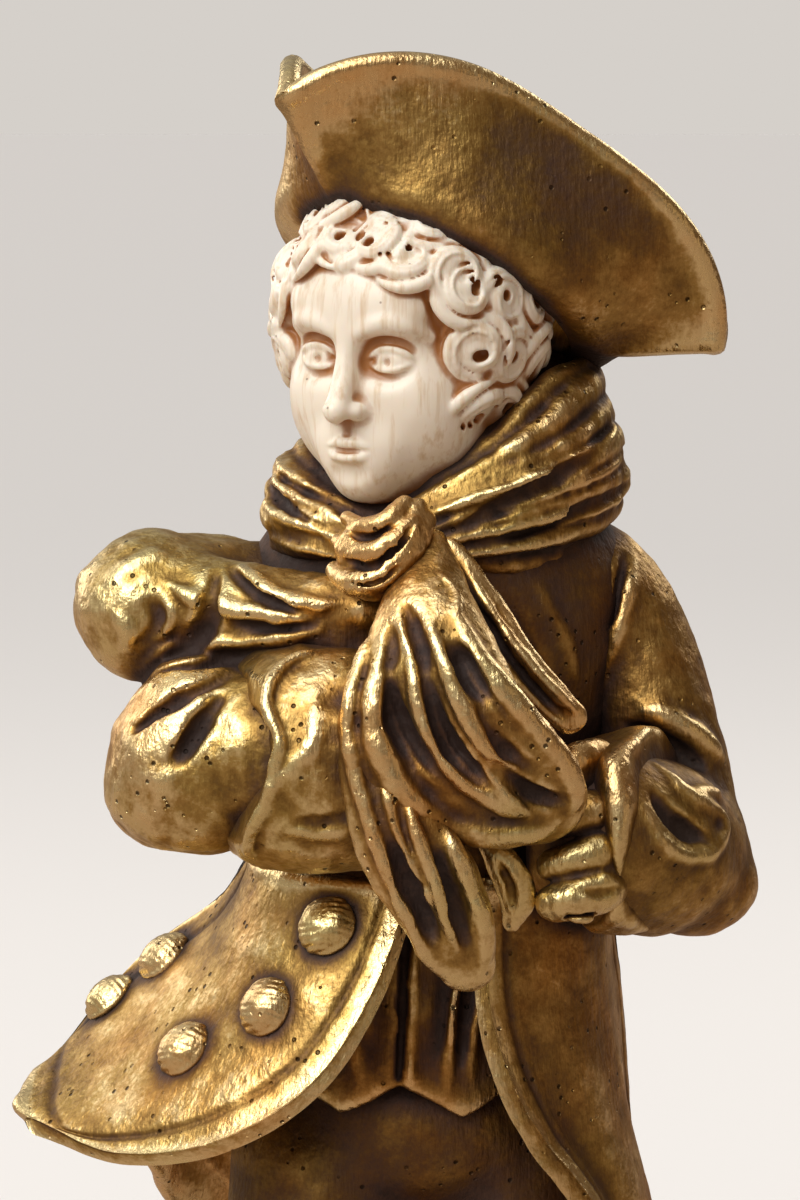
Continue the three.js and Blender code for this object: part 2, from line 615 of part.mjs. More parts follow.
const arms = (grow) => joined(rightSleeve(grow), leftSleeve(grow));
const cuffs = (grow) => joined(rightCuff(grow), leftCuff(grow));
const hands = (grow) => joined(leftHand(grow), rightHand(grow));
add("coat_bodice", main(cut(coatBodice(), arms(GAP), cuffs(GAP), hands(GAP), grownSkirts)), gilt);
add("right_sleeve", main(cut(rightSleeve(), cuffs(GAP), grownSkirts)), gilt);
add("left_sleeve", main(cut(leftSleeve(), cuffs(GAP), grownSkirts)), gilt);
add("right_cuff", main(cut(rightCuff(), hands(GAP))), gilt);
add("left_cuff", main(cut(leftCuff(), rightCuff(GAP), leftHand(GAP))), gilt);
add("right_hand", main(cut(rightHand(), leftHand(GAP))), gilt);

const neck = head(GAP);
const brim = hat();
add("scarf_wrap", main(cut(scarfWrap(), neck, torso(GAP), arms(GAP), brim)), gilt);
add("scarf_knot", main(cut(scarfKnot(), neck, scarfWrap(GAP), torso(GAP))), gilt);
const under = [arms(GAP), cuffs(GAP), rightHand(GAP), torso(GAP), scarfWrap(GAP), scarfKnot(GAP)];
add("scarf_tail_front", main(cut(tailFront(), ...under)), gilt);
add("scarf_tail_lower", main(cut(tailLower(), ...under, tailFront(GAP))), gilt);
add("scarf_tail_side", main(cut(tailSide(), ...under, tailFront(GAP))), gilt);
add("left_hand", main(cut(leftHand(), tailFront(GAP), tailLower(GAP), tailSide(GAP))), gilt);

add("head", main(cut(headPiece(), torso(GAP))), ivory);
add("neck_dowel", neckDowel(), brass);
add("hat", brim, gilt);
add("hat_pin", hatPin(), brass);

export default figure;
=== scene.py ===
import math
import bpy
import numpy as np
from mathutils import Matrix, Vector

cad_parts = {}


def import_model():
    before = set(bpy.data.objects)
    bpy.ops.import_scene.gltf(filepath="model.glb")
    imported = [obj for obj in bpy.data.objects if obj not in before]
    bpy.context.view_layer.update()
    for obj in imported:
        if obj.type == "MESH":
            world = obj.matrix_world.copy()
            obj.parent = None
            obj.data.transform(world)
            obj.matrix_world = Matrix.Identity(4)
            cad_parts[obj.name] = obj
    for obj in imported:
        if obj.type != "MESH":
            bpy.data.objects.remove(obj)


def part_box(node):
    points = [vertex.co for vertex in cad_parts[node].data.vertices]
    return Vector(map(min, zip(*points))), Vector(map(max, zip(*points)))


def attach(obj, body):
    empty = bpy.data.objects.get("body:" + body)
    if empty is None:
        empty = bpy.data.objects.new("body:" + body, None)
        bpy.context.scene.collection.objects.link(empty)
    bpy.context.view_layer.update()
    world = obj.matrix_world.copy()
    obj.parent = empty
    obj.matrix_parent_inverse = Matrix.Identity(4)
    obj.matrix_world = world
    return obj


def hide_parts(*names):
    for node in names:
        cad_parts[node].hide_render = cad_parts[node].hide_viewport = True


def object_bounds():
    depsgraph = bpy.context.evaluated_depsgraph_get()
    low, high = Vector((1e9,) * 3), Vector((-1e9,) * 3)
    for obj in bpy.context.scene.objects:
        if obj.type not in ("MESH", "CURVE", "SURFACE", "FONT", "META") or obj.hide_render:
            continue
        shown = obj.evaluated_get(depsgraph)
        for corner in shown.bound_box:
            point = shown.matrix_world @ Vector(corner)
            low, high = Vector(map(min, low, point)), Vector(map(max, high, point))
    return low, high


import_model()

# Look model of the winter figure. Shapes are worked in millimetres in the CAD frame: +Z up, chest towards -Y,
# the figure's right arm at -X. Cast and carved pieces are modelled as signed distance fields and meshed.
import openvdb
from mathutils import Vector

MM = 0.001
FAR = 50.0
first_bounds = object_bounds()


def span(node):
    """Lowest and highest corner of a CAD node, in millimetres."""
    low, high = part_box(node)
    return np.array(low) / MM, np.array(high) / MM


# ---- Noise ----

_lattice = np.random.default_rng(7).random((48, 48, 48)).astype(np.float32)


def noise(points, size, octaves=2, seed=0):
    """Smooth value noise at (n, 3) points, from -1 to 1. size is the width of the largest lumps."""
    total, weight, gain = 0, 0, 1.0
    for octave in range(octaves):
        p = points * (2**octave / size) + 11.3 * (seed + octave + 1)
        base = np.floor(p)
        f = p - base
        f = f * f * (3 - 2 * f)
        i = base.astype(int) % 48
        j = (i + 1) % 48
        value = 0
        for cx, wx in ((i[..., 0], 1 - f[..., 0]), (j[..., 0], f[..., 0])):
            for cy, wy in ((i[..., 1], 1 - f[..., 1]), (j[..., 1], f[..., 1])):
                for cz, wz in ((i[..., 2], 1 - f[..., 2]), (j[..., 2], f[..., 2])):
                    value = value + _lattice[cx, cy, cz] * wx * wy * wz
        total = total + gain * (2 * value - 1)
        weight += gain
        gain *= 0.5
    return total / weight


def between(volume, places):
    """A volume's values at (n, 3) places counted in cells, blended between cells."""
    p = np.clip(places, 0, np.array(volume.shape) - 1.001)
    i = p.astype(int)
    f = p - i
    value = 0
    for dx in (0, 1):
        for dy in (0, 1):
            for dz in (0, 1):
                w = 1
                for axis, upper in enumerate((dx, dy, dz)):
                    w = w * (f[:, axis] if upper else 1 - f[:, axis])
                value = value + w * volume[i[:, 0] + dx, i[:, 1] + dy, i[:, 2] + dz]
    return value


# ---- Curves ----


def smooth_line(points, count):
    """A Catmull-Rom line through the points, sampled count times. Other columns, such as radii, go along."""
    p = np.asarray(points, float)
    if len(p) == 2:
        return p[0] + (p[1] - p[0]) * np.linspace(0, 1, count)[:, None]
    ends = np.vstack([2 * p[0] - p[1], p, 2 * p[-1] - p[-2]])
    t = np.linspace(0, len(p) - 1, count)
    i = np.minimum(t.astype(int), len(p) - 2)
    f = (t - i)[:, None]
    a, b, c, d = ends[i], ends[i + 1], ends[i + 2], ends[i + 3]
    return 0.5 * (2 * b + (c - a) * f + (2 * a - 5 * b + 4 * c - d) * f**2 + (3 * b - a - 3 * c + d) * f**3)


def turned(degrees_z=0, degrees_x=0):
    """A rotation about X and then about Z. Its columns are the turned axes."""
    a, b = math.radians(degrees_z), math.radians(degrees_x)
    about_z = np.array([[math.cos(a), -math.sin(a), 0], [math.sin(a), math.cos(a), 0], [0, 0, 1]])
    about_x = np.array([[1, 0, 0], [0, math.cos(b), -math.sin(b)], [0, math.sin(b), math.cos(b)]])
    return about_z @ about_x


def soft_min(a, b, k):
    """The smaller of two distances, with the crease between them filled over a width of k."""
    h = np.maximum(k - np.abs(a - b), 0) / k
    return np.minimum(a, b) - h * h * (k / 4)


# ---- Clay ----


class Clay:
    """A signed distance field on a regular grid, negative inside, worked like clay."""

    def __init__(self, low, high, cell):
        self.low, self.cell = np.array(low, float), cell
        count = np.ceil((np.array(high) - self.low) / cell).astype(int) + 1
        self.axes = [(low[i] + cell * np.arange(count[i])).astype(np.float32) for i in range(3)]
        self.d = np.full(count, FAR, np.float32)

    def window(self, low, high):
        """The slices of the cells in a box, and their coordinates ready to broadcast."""
        cut = []
        for axis, a, b in zip(self.axes, low, high):
            first = int(np.clip(math.floor((a - axis[0]) / self.cell), 0, len(axis)))
            last = int(np.clip(math.ceil((b - axis[0]) / self.cell) + 1, first, len(axis)))
            cut.append(slice(first, last))
        x, y, z = [axis[c] for axis, c in zip(self.axes, cut)]
        return tuple(cut), (x[:, None, None], y[None, :, None], z[None, None, :])

    def merge(self, cut, shape, k, carve):
        if carve:
            self.d[cut] = -soft_min(-self.d[cut], shape, k)
        else:
            self.d[cut] = soft_min(self.d[cut], shape, k)

    def ball(self, centre, radii, turn=None, k=0.8, carve=False):
        """Adds or carves an ellipsoid."""
        centre = np.array(centre, float)
        radii = np.broadcast_to(np.array(radii, float), 3)
        pad = radii.max() + k + 3 * self.cell
        cut, (x, y, z) = self.window(centre - pad, centre + pad)
        p = (x - centre[0], y - centre[1], z - centre[2])
        if turn is not None:
            p = [turn[0, i] * p[0] + turn[1, i] * p[1] + turn[2, i] * p[2] for i in range(3)]
        near = sum((q / r) ** 2 for q, r in zip(p, radii))
        slope = sum((q / r**2) ** 2 for q, r in zip(p, radii))
        k0 = np.sqrt(near)
        self.merge(cut, (k0 * (k0 - 1) / np.maximum(np.sqrt(slope), 1e-4)).astype(np.float32), k, carve)

    def tube(self, points, radii, k=0.5, carve=False, flat=1.0, face=None, steps=None):
        """Adds or carves a round or flattened rod along a smooth line. face is the flattened direction."""
        points = np.asarray(points, float)
        radii = np.full(len(points), float(radii)) if np.ndim(radii) == 0 else np.asarray(radii)
        if len(radii) != len(points):
            radii = np.interp(np.linspace(0, 1, len(points)), np.linspace(0, 1, len(radii)), radii)
        if steps is None:
            length = np.linalg.norm(np.diff(points, axis=0), axis=1).sum()
            longest = 0.9 if flat == 1 else 0.35
            steps = int(np.clip(length / np.clip(0.5 * np.mean(radii), 0.25, longest), 6, 90))
        line = smooth_line(np.hstack([points, radii[:, None]]), steps)
        p, r = line[:, :3], np.maximum(line[:, 3], 0.02)
        pad = k + 3 * self.cell
        cut, _ = self.window(p.min(0) - r.max() - pad, p.max(0) + r.max() + pad)
        shape = np.full([c.stop - c.start for c in cut], FAR, np.float32)
        if shape.size == 0:
            return
        if face is not None:
            face = np.array(face, float) / np.linalg.norm(face)
        for a, b, ra, rb in zip(p[:-1], p[1:], r[:-1], r[1:]):
            reach = max(ra, rb) + pad
            part, (x, y, z) = self.window(np.minimum(a, b) - reach, np.maximum(a, b) + reach)
            inner = tuple(slice(s.start - c.start, s.stop - c.start) for s, c in zip(part, cut))
            if min(s.stop - s.start for s in part) <= 0:
                continue
            along = b - a
            qx, qy, qz = x - a[0], y - a[1], z - a[2]
            h = np.clip((qx * along[0] + qy * along[1] + qz * along[2]) / max(along @ along, 1e-9), 0, 1)
            qx, qy, qz = qx - h * along[0], qy - h * along[1], qz - h * along[2]
            gone = np.sqrt(qx * qx + qy * qy + qz * qz)
            radius = ra + (rb - ra) * h
            if face is None or flat == 1:
                d = gone - radius
            else:
                over = qx * face[0] + qy * face[1] + qz * face[2]
                stretched = np.sqrt(gone**2 + (1 / flat**2 - 1) * over**2)
                d = (stretched - radius) * gone / np.maximum(stretched, 1e-4)
            shape[inner] = np.minimum(shape[inner], d)
        self.merge(cut, shape, k, carve)

    def sample(self, points, field=None):
        """The field at (n, 3) points, between cells."""
        return between(self.d if field is None else field, (np.asarray(points) - self.low) / self.cell)

    def drape(self, points, toward, reach=9.0):
        """Moves points along a direction onto the first surface met. Returns them and the outward normals."""
        points = np.asarray(points, float)
        toward = np.broadcast_to(np.array(toward, float), points.shape)
        toward = toward / np.linalg.norm(toward, axis=1, keepdims=True)
        steps = np.arange(-reach, reach, self.cell * 0.6)
        rays = points[:, None, :] + toward[:, None, :] * steps[None, :, None]
        values = self.sample(rays.reshape(-1, 3)).reshape(len(points), -1)
        inside = values < 0
        hit = np.where(inside.any(1), inside.argmax(1), len(steps) // 2)
        rows = np.arange(len(points))
        before = np.maximum(hit - 1, 0)
        va, vb = values[rows, before], values[rows, hit]
        share = np.where(va > vb, va / np.maximum(va - vb, 1e-6), 1)
        place = steps[before] + (steps[hit] - steps[before]) * np.clip(share, 0, 1)
        on = points + toward * place[:, None]
        e = self.cell
        normal = np.stack([self.sample(on + e * a) - self.sample(on - e * a) for a in np.eye(3)], axis=1)
        normal = 0.5 * normal / np.maximum(np.linalg.norm(normal, axis=1, keepdims=True), 1e-6) - 0.5 * toward
        return on, normal / np.maximum(np.linalg.norm(normal, axis=1, keepdims=True), 1e-6), inside.any(1)

    def fold(self, points, radius, height, toward=(0, 1, 0), k=0.5, taper=(0.35, 0.35), flat=1.0):
        """A ridge (height above 0) or a groove (below 0) laid along the surface that toward meets."""
        points = np.asarray(points, float)
        length = np.linalg.norm(np.diff(points, axis=0), axis=1).sum()
        count = int(np.clip(length / np.clip(0.7 * radius, 0.22, 0.8), 12, 64))
        if np.ndim(toward) == 2:
            toward = smooth_line(toward, count)
        on, normal, found = self.drape(smooth_line(points, count), toward)
        step = np.linalg.norm(np.diff(on, axis=0), axis=1)
        broken = np.concatenate([[True], ~found[1:] | ~found[:-1] | (step > 4 * length / count + 0.6)])
        runs = np.cumsum(broken)
        run = runs == np.argmax(np.bincount(runs, found))
        on, normal, count = on[run], normal[run], int(run.sum())
        if count < 4:
            return
        soft = np.array([1, 2, 3, 2, 1]) / 9
        for axis in range(3):
            padded = np.pad(on[:, axis], 2, mode="edge")
            on[:, axis] = np.convolve(padded, soft, "valid")
        t = np.linspace(0, 1, count)
        swell = np.clip(t / taper[0], 0, 1) * np.clip((1 - t) / taper[1], 0, 1)
        swell = np.sin(swell * math.pi / 2)
        r = radius * (0.25 + 0.75 * swell)
        tall = height * swell
        centre = on + normal * (tall - np.sign(height) * r)[:, None]
        self.tube(centre, r, k=k, carve=height < 0, steps=count, flat=flat,
                  face=normal.mean(0) if flat != 1 else None)

    def trim(self, keep, k=0.6):
        """Keeps only where keep(x, y, z), a distance, is negative."""
        cut, (x, y, z) = self.window(self.low, self.low + self.cell * np.array(self.d.shape))
        self.d[cut] = -soft_min(-self.d[cut], -keep(x, y, z).astype(np.float32), k)

    def rough(self, size, depth, seed=0, octaves=2):
        """Uneven hand work: moves the surface in and out a little."""
        band = np.argwhere(np.abs(self.d) < 3 * self.cell + depth)
        if len(band):
            at = band * self.cell + self.low
            self.d[tuple(band.T)] += (depth * noise(at, size, octaves, seed)).astype(np.float32)

    def mesh(self, relax=2):
        """Vertices in millimetres and quads, faces out."""
        solid = self.d.copy()
        for axis in range(3):
            for end in (0, -1):
                solid[(slice(None),) * axis + (end,)] = np.maximum(solid[(slice(None),) * axis + (end,)],
                                                                   self.cell)
        grid = openvdb.FloatGrid(FAR)
        grid.copyFromArray(np.clip(solid, -3 * self.cell, 3 * self.cell))
        points, quads = grid.convertToQuads(0.0)
        points = points.astype(float) * self.cell + self.low
        quads = quads.astype(np.int64)
        for _ in range(relax):
            points = relaxed(points, quads, 0.5)
        return points, outward(points, quads)


def relaxed(points, quads, amount):
    """Each vertex moved part of the way to the middle of its neighbours."""
    total, count = np.zeros_like(points), np.zeros(len(points))
    for a in range(4):
        b = (a + 1) % 4
        for i, j in ((quads[:, a], quads[:, b]), (quads[:, b], quads[:, a])):
            for axis in range(3):
                total[:, axis] += np.bincount(i, points[j, axis], len(points))
            count += np.bincount(i, minlength=len(points))
    return points + amount * (total / np.maximum(count, 1)[:, None] - points)


def outward(points, quads):
    """The quads wound so that they enclose a positive volume."""
    a, b, c, d = (points[quads[:, i]] for i in range(4))
    volume = np.einsum("ij,ij->i", a, np.cross(b, c)).sum() + np.einsum("ij,ij->i", a, np.cross(c, d)).sum()
    return quads if volume > 0 else quads[:, ::-1]


# ---- Thickness map: how buried each point of the finished surface is ----

MAP_CELL = 0.4
map_low = np.array(first_bounds[0]) / MM - 6
map_size = (np.ceil((np.array(first_bounds[1]) / MM + 6 - map_low) / MAP_CELL)).astype(int)
filled = np.zeros(map_size, np.float32)
made = []


def fill(clay):
    """Marks the map's cells that lie inside a clay body."""
    first = np.maximum(np.ceil((clay.low - map_low) / MAP_CELL), 0).astype(int)
    top = clay.low + clay.cell * (np.array(clay.d.shape) - 1)
    last = np.minimum(np.floor((top - map_low) / MAP_CELL), map_size - 1).astype(int)
    along = [map_low[i] + MAP_CELL * np.arange(first[i], last[i] + 1) for i in range(3)]
    index = [np.round((along[i] - clay.low[i]) / clay.cell).astype(int) for i in range(3)]
    index = [np.clip(ix, 0, clay.d.shape[i] - 1) for i, ix in enumerate(index)]
    part = tuple(slice(first[i], last[i] + 1) for i in range(3))
    filled[part] = np.maximum(filled[part], np.clip(0.5 - clay.d[np.ix_(*index)] / MAP_CELL, 0, 1))


def splat(points):
    """Marks the map's cells that hold any of the points."""
    i = np.round((points - map_low) / MAP_CELL).astype(int)
    i = i[((i >= 0) & (i < map_size)).all(1)]
    filled[tuple(i.T)] = 1


def blurred(volume, radius):
    """A box blur repeated twice along each axis."""
    out = volume.astype(np.float32)
    for _ in range(2):
        for axis in range(3):
            padded = np.pad(out, [(radius + 1, radius) if a == axis else (0, 0) for a in range(3)],
                            mode="edge")
            total = np.cumsum(padded, axis=axis, dtype=np.float64)
            n = out.shape[axis]
            upper = np.take(total, range(2 * radius + 1, 2 * radius + 1 + n), axis=axis)
            lower = np.take(total, range(0, n), axis=axis)
            out = ((upper - lower) / (2 * radius + 1)).astype(np.float32)
    return out


# ---- Building pieces ----


def build(name, points, quads, nodes, material, clay=None, shine=0.0):
    """A Blender piece from millimetre points, standing for CAD nodes."""
    mesh = bpy.data.meshes.new(name)
    mesh.vertices.add(len(points))
    mesh.vertices.foreach_set("co", (points * MM).astype(np.float32).ravel())
    sides = quads.shape[1]
    mesh.loops.add(quads.size)
    mesh.loops.foreach_set("vertex_index", quads.astype(np.int32).ravel())
    mesh.polygons.add(len(quads))
    mesh.polygons.foreach_set("loop_start", np.arange(0, quads.size, sides, dtype=np.int32))
    mesh.polygons.foreach_set("loop_total", np.full(len(quads), sides, np.int32))
    mesh.update(calc_edges=True)
    mesh.validate()
    mesh.shade_smooth()
    mesh.materials.append(material)
    thing = bpy.data.objects.new(name, mesh)
    bpy.context.collection.objects.link(thing)
    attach(thing, "root")
    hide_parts(*nodes)
    made.append((thing, points, clay, shine))
    return thing


def cast(name, clay, nodes, material=None, relax=2, shine=0.0):
    """Meshes a clay body as a piece and marks it in the map."""
    fill(clay)
    points, quads = clay.mesh(relax)
    return build(name, points, quads, nodes, material or BRONZE, clay, shine)


def shell(name, surface, columns, rows, thickness, nodes, material=None, closed=False,
          lip=0.25, texture=None, shine=0.0):
    """A bent sheet of metal with rolled edges. surface(u, v) gives (n, 3) points of its middle."""
    # Cross-section samples run up one side, round the edge at v=1, down the other and round v=0.
    bend = 5
    v_side = np.linspace(0, 1, rows)
    turn = np.linspace(0, math.pi, bend + 2)[1:-1]
    half = thickness / 2
    vs = np.concatenate([v_side, np.ones(bend), v_side[::-1], np.zeros(bend)])
    off = np.concatenate([np.ones(rows), np.cos(turn), -np.ones(rows), -np.cos(turn)])
    out = np.concatenate([np.zeros(rows), np.sin(turn), np.zeros(rows), -np.sin(turn)])
    us = np.linspace(0, 1, columns, endpoint=not closed)
    u, v = np.meshgrid(us, vs, indexing="ij")
    u, v = u.ravel(), v.ravel()
    e = 1e-3
    at = surface(u, v)
    du = surface(u + e, v) - surface(u - e, v)
    dv = surface(u, v + e) - surface(u, v - e)
    normal = np.cross(du, dv)
    normal /= np.maximum(np.linalg.norm(normal, axis=1, keepdims=True), 1e-9)
    dv /= np.maximum(np.linalg.norm(dv, axis=1, keepdims=True), 1e-9)
    edge = np.minimum(v, 1 - v)
    if not closed:
        edge = np.minimum(edge, np.minimum(u, 1 - u))
    thick = half * (1 + lip * np.exp(-((edge / 0.03) ** 2)))
    offs, outs = np.tile(off, columns), np.tile(out, columns)
    points = at + normal * (offs * thick)[:, None] + dv * (outs * thick)[:, None]
    if texture is not None:
        points = points + normal * texture(at, u, v)[:, None]
    ring = len(vs)
    i = np.arange(columns if closed else columns - 1)
    j = np.arange(ring)
    a, b = np.meshgrid(i, j, indexing="ij")
    a, b = a.ravel(), b.ravel()
    a2, b2 = (a + 1) % columns, (b + 1) % ring
    quads = np.stack([a * ring + b, a2 * ring + b, a2 * ring + b2, a * ring + b2], 1)
    if not closed:
        caps = []
        for end in (0, columns - 1):
            for k in range(rows - 1):
                caps.append([end * ring + k, end * ring + k + 1,
                             end * ring + 2 * rows + bend - 2 - k, end * ring + 2 * rows + bend - 1 - k])
                if end == 0:
                    caps[-1] = caps[-1][::-1]
            # the half-round ends
            far = [end * ring + rows - 1 + k for k in range(bend + 2)]
            near = [end * ring + (2 * rows + bend - 1 + k) % ring for k in range(bend + 2)]
            for fan in (far, near):
                for k in range(1, (bend + 1) // 2 + 1):
                    quad = [fan[k - 1], fan[k], fan[-k - 1], fan[-k]]
                    if len(set(quad)) == 4:
                        caps.append(quad if end else quad[::-1])
        quads = np.vstack([quads, np.array(caps)])
    for layer in (-0.8, 0, 0.8):
        splat(at + normal * (layer * half))
    rubbed = shine + 0.4 * np.exp(-((edge / 0.014) ** 2))
    return build(name, points, outward(points, quads), nodes, material or BRONZE, shine=rubbed)


# ---- Materials ----


def shader(name):
    material = bpy.data.materials.new(name)
    material.use_nodes = True
    tree = material.node_tree
    return material, tree, tree.nodes["Principled BSDF"]


def node(tree, kind, inputs=None, **settings):
    """A shader node with its settings, and inputs that are values or sockets to link."""
    made_node = tree.nodes.new(kind)
    for key, value in settings.items():
        setattr(made_node, key, value)
    for key, value in (inputs or {}).items():
        if isinstance(value, bpy.types.NodeSocket):
            tree.links.new(value, made_node.inputs[key])
        else:
            made_node.inputs[key].default_value = value
    return made_node


def ramp(tree, factor, stops):
    """A colour ramp from (position, colour) stops."""
    made_node = node(tree, "ShaderNodeValToRGB", {0: factor})
    scale = made_node.color_ramp
    while len(scale.elements) < len(stops):
        scale.elements.new(0.5)
    for element, (place, colour) in zip(scale.elements, stops):
        element.position = place
        element.color = (*colour, 1) if len(colour) == 3 else colour
    return made_node.outputs[0]


def grey(value):
    return (value, value, value)


def maths(tree, operation, a, b=0.0, c=0.0, clamp=False):
    made_node = node(tree, "ShaderNodeMath", {0: a, 1: b, 2: c}, operation=operation)
    made_node.use_clamp = clamp
    return made_node.outputs[0]


def mixed(tree, factor, a, b, blend_type="MIX"):
    made_node = node(tree, "ShaderNodeMix", data_type="RGBA", blend_type=blend_type)
    for index, value in ((0, factor), (6, a), (7, b)):
        if isinstance(value, bpy.types.NodeSocket):
            tree.links.new(value, made_node.inputs[index])
        else:
            made_node.inputs[index].default_value = value if index == 0 else (*value, 1)
    return made_node.outputs[2]


def speckle(tree, place, scale, detail=4, rough=0.6, stretch=None):
    """Noise in millimetre-like scale over the piece's own coordinates."""
    if stretch is not None:
        place = node(tree, "ShaderNodeMapping", {0: place, 3: stretch}).outputs[0]
    made_node = node(tree, "ShaderNodeTexNoise",
                     {"Vector": place, "Scale": scale, "Detail": detail, "Roughness": rough})
    return made_node.outputs[0]


def make_bronze():
    material, tree, body = shader("gilt_bronze")
    place = node(tree, "ShaderNodeTexCoord").outputs["Object"]
    wear_and_shade = node(tree, "ShaderNodeAttribute", attribute_name="wear_and_shade").outputs["Fac"]
    broad = speckle(tree, place, 130, 3)
    fine = speckle(tree, place, 800, 6, 0.72)
    grit = speckle(tree, place, 2600, 3, 0.6)
    uneven = maths(tree, "MULTIPLY_ADD", broad, 0.36, -0.20)
    uneven = maths(tree, "ADD", uneven, maths(tree, "MULTIPLY_ADD", fine, 0.56, -0.28))
    uneven = maths(tree, "ADD", uneven, maths(tree, "MULTIPLY_ADD", grit, 0.26, -0.13))
    level = maths(tree, "ADD", wear_and_shade, uneven, clamp=True)
    # Dark patina in the hollows and bright gilding on the ridges; the attribute also brings painted shade
    # where pieces crowd each other and over the figure's left side.
    colour = ramp(tree, level, [
        (0.0, (0.034, 0.018, 0.014)), (0.20, (0.085, 0.044, 0.029)), (0.40, (0.150, 0.081, 0.034)),
        (0.58, (0.265, 0.150, 0.043)), (0.76, (0.455, 0.285, 0.090)), (0.95, (0.80, 0.61, 0.31)),
    ])
    # Warm brown and olive clouds in the gilding.
    cloud = speckle(tree, place, 75, 4, 0.6)
    tint = ramp(tree, cloud, [(0.35, (1.0, 0.72, 0.48)), (0.5, (1, 1, 1)), (0.66, (0.90, 1.0, 0.82))])
    colour = mixed(tree, 0.55, colour, tint, "MULTIPLY")
    # Casting pits and black specks.
    pit = node(tree, "ShaderNodeTexVoronoi",
               {"Vector": place, "Scale": 820.0, "Randomness": 1.0}).outputs["Distance"]
    where = speckle(tree, place, 210, 2)
    spots = maths(tree, "MULTIPLY", ramp(tree, pit, [(0.10, grey(1)), (0.19, grey(0))]),
                  ramp(tree, where, [(0.51, grey(0)), (0.57, grey(1))]))
    colour = mixed(tree, maths(tree, "MULTIPLY", spots, 0.85), colour, (0.018, 0.010, 0.006))
    tree.links.new(colour, body.inputs["Base Color"])
    metal = ramp(tree, level, [(0.08, grey(0.35)), (0.42, grey(0.9)), (0.62, grey(1))])
    tree.links.new(metal, body.inputs["Metallic"])
    rough = ramp(tree, level,
                 [(0.05, grey(0.70)), (0.35, grey(0.58)), (0.62, grey(0.47)), (0.85, grey(0.34)),
                  (1.0, grey(0.24))])
    rough = maths(tree, "ADD", rough, maths(tree, "MULTIPLY_ADD", fine, 0.34, -0.15), clamp=True)
    tree.links.new(rough, body.inputs["Roughness"])
    # Chased surface: soft hammer marks, fine brush lines and the pits.
    hammer = speckle(tree, place, 420, 3, 0.5)
    lines = speckle(tree, place, 700, 3, 0.6, stretch=(3.2, 3.2, 0.45))
    stipple = speckle(tree, place, 1500, 2, 0.5)
    height = maths(tree, "ADD", maths(tree, "MULTIPLY", hammer, 0.55), maths(tree, "MULTIPLY", lines, 0.3))
    height = maths(tree, "ADD", height, maths(tree, "MULTIPLY", stipple, 0.22))
    height = maths(tree, "SUBTRACT", height, maths(tree, "MULTIPLY", spots, 0.9))
    bump = node(tree, "ShaderNodeBump", {"Height": height, "Strength": 0.85, "Distance": 0.00042})
    tree.links.new(bump.outputs[0], body.inputs["Normal"])
    return material


def make_ivory():
    material, tree, body = shader("ivory")
    place = node(tree, "ShaderNodeTexCoord").outputs["Object"]
    wear_and_shade = node(tree, "ShaderNodeAttribute", attribute_name="wear_and_shade").outputs["Fac"]
    grain = speckle(tree, place, 900, 4, 0.6, stretch=(1.5, 1.5, 0.09))
    cloud = speckle(tree, place, 160, 3)
    base = mixed(tree, cloud, (0.95, 0.88, 0.77), (0.90, 0.80, 0.65))
    base = mixed(tree, ramp(tree, grain, [(0.50, grey(0)), (0.68, grey(0.75))]), base, (0.70, 0.53, 0.34))
    # Brown stain in the hollows, plus painted shade from the same attribute where the head is buried under
    # the hat and muffler and over its left side.
    grime_and_shade = maths(tree, "ADD", wear_and_shade,
                 maths(tree, "MULTIPLY_ADD", speckle(tree, place, 700, 4, 0.7), 0.3, -0.15))
    stain_and_shade = ramp(tree, grime_and_shade, [(0.12, grey(1)), (0.36, grey(0.80)), (0.50, grey(0.42)), (0.63, grey(0))])
    base = mixed(tree, stain_and_shade, base, (0.42, 0.175, 0.052))
    crack = node(tree, "ShaderNodeTexVoronoi", {"Vector": place, "Scale": 800.0}).outputs["Distance"]
    where = speckle(tree, place, 240, 2)
    specks = maths(tree, "MULTIPLY", ramp(tree, crack, [(0.05, grey(1)), (0.12, grey(0))]),
                   ramp(tree, where, [(0.58, grey(0)), (0.63, grey(1))]))
    base = mixed(tree, maths(tree, "MULTIPLY", specks, 0.7), base, (0.16, 0.07, 0.03))
    tree.links.new(base, body.inputs["Base Color"])
    body.inputs["Roughness"].default_value = 0.36
    body.inputs["Subsurface Weight"].default_value = 0.18
    body.inputs["Subsurface Radius"].default_value = (0.0016, 0.0009, 0.0005)
    body.inputs["Subsurface Scale"].default_value = 1.0
    bump = node(tree, "ShaderNodeBump", {"Height": grain, "Strength": 0.25, "Distance": 0.00012})
    tree.links.new(bump.outputs[0], body.inputs["Normal"])
    return material


def make_marble():
    material, tree, body = shader("marble")
    place = node(tree, "ShaderNodeTexCoord").outputs["Object"]
    warp = node(tree, "ShaderNodeTexNoise", {"Vector": place, "Scale": 60.0, "Detail": 6.0}).outputs[1]
    bent = node(tree, "ShaderNodeVectorMath", {0: place, 1: node(
        tree, "ShaderNodeVectorMath", {0: warp, 3: 0.02}, operation="SCALE").outputs[0]},
        operation="ADD").outputs[0]
    vein = node(tree, "ShaderNodeTexVoronoi", {"Vector": bent, "Scale": 62.0},
                feature="DISTANCE_TO_EDGE").outputs[0]
    veins = ramp(tree, vein, [(0.0, grey(1)), (0.018, grey(0.25)), (0.05, grey(0))])
    fade = ramp(tree, speckle(tree, place, 45, 3), [(0.42, grey(0)), (0.62, grey(1))])
    cloud = ramp(tree, speckle(tree, place, 90, 6, 0.65),
                 [(0.3, (0.011, 0.010, 0.009)), (0.75, (0.060, 0.050, 0.042))])
    colour = mixed(tree, maths(tree, "MULTIPLY", veins, fade), cloud, (0.62, 0.53, 0.42))
    tree.links.new(colour, body.inputs["Base Color"])
    body.inputs["Roughness"].default_value = 0.13
    body.inputs["Coat Weight"].default_value = 0.35
    body.inputs["Coat Roughness"].default_value = 0.06
    return material


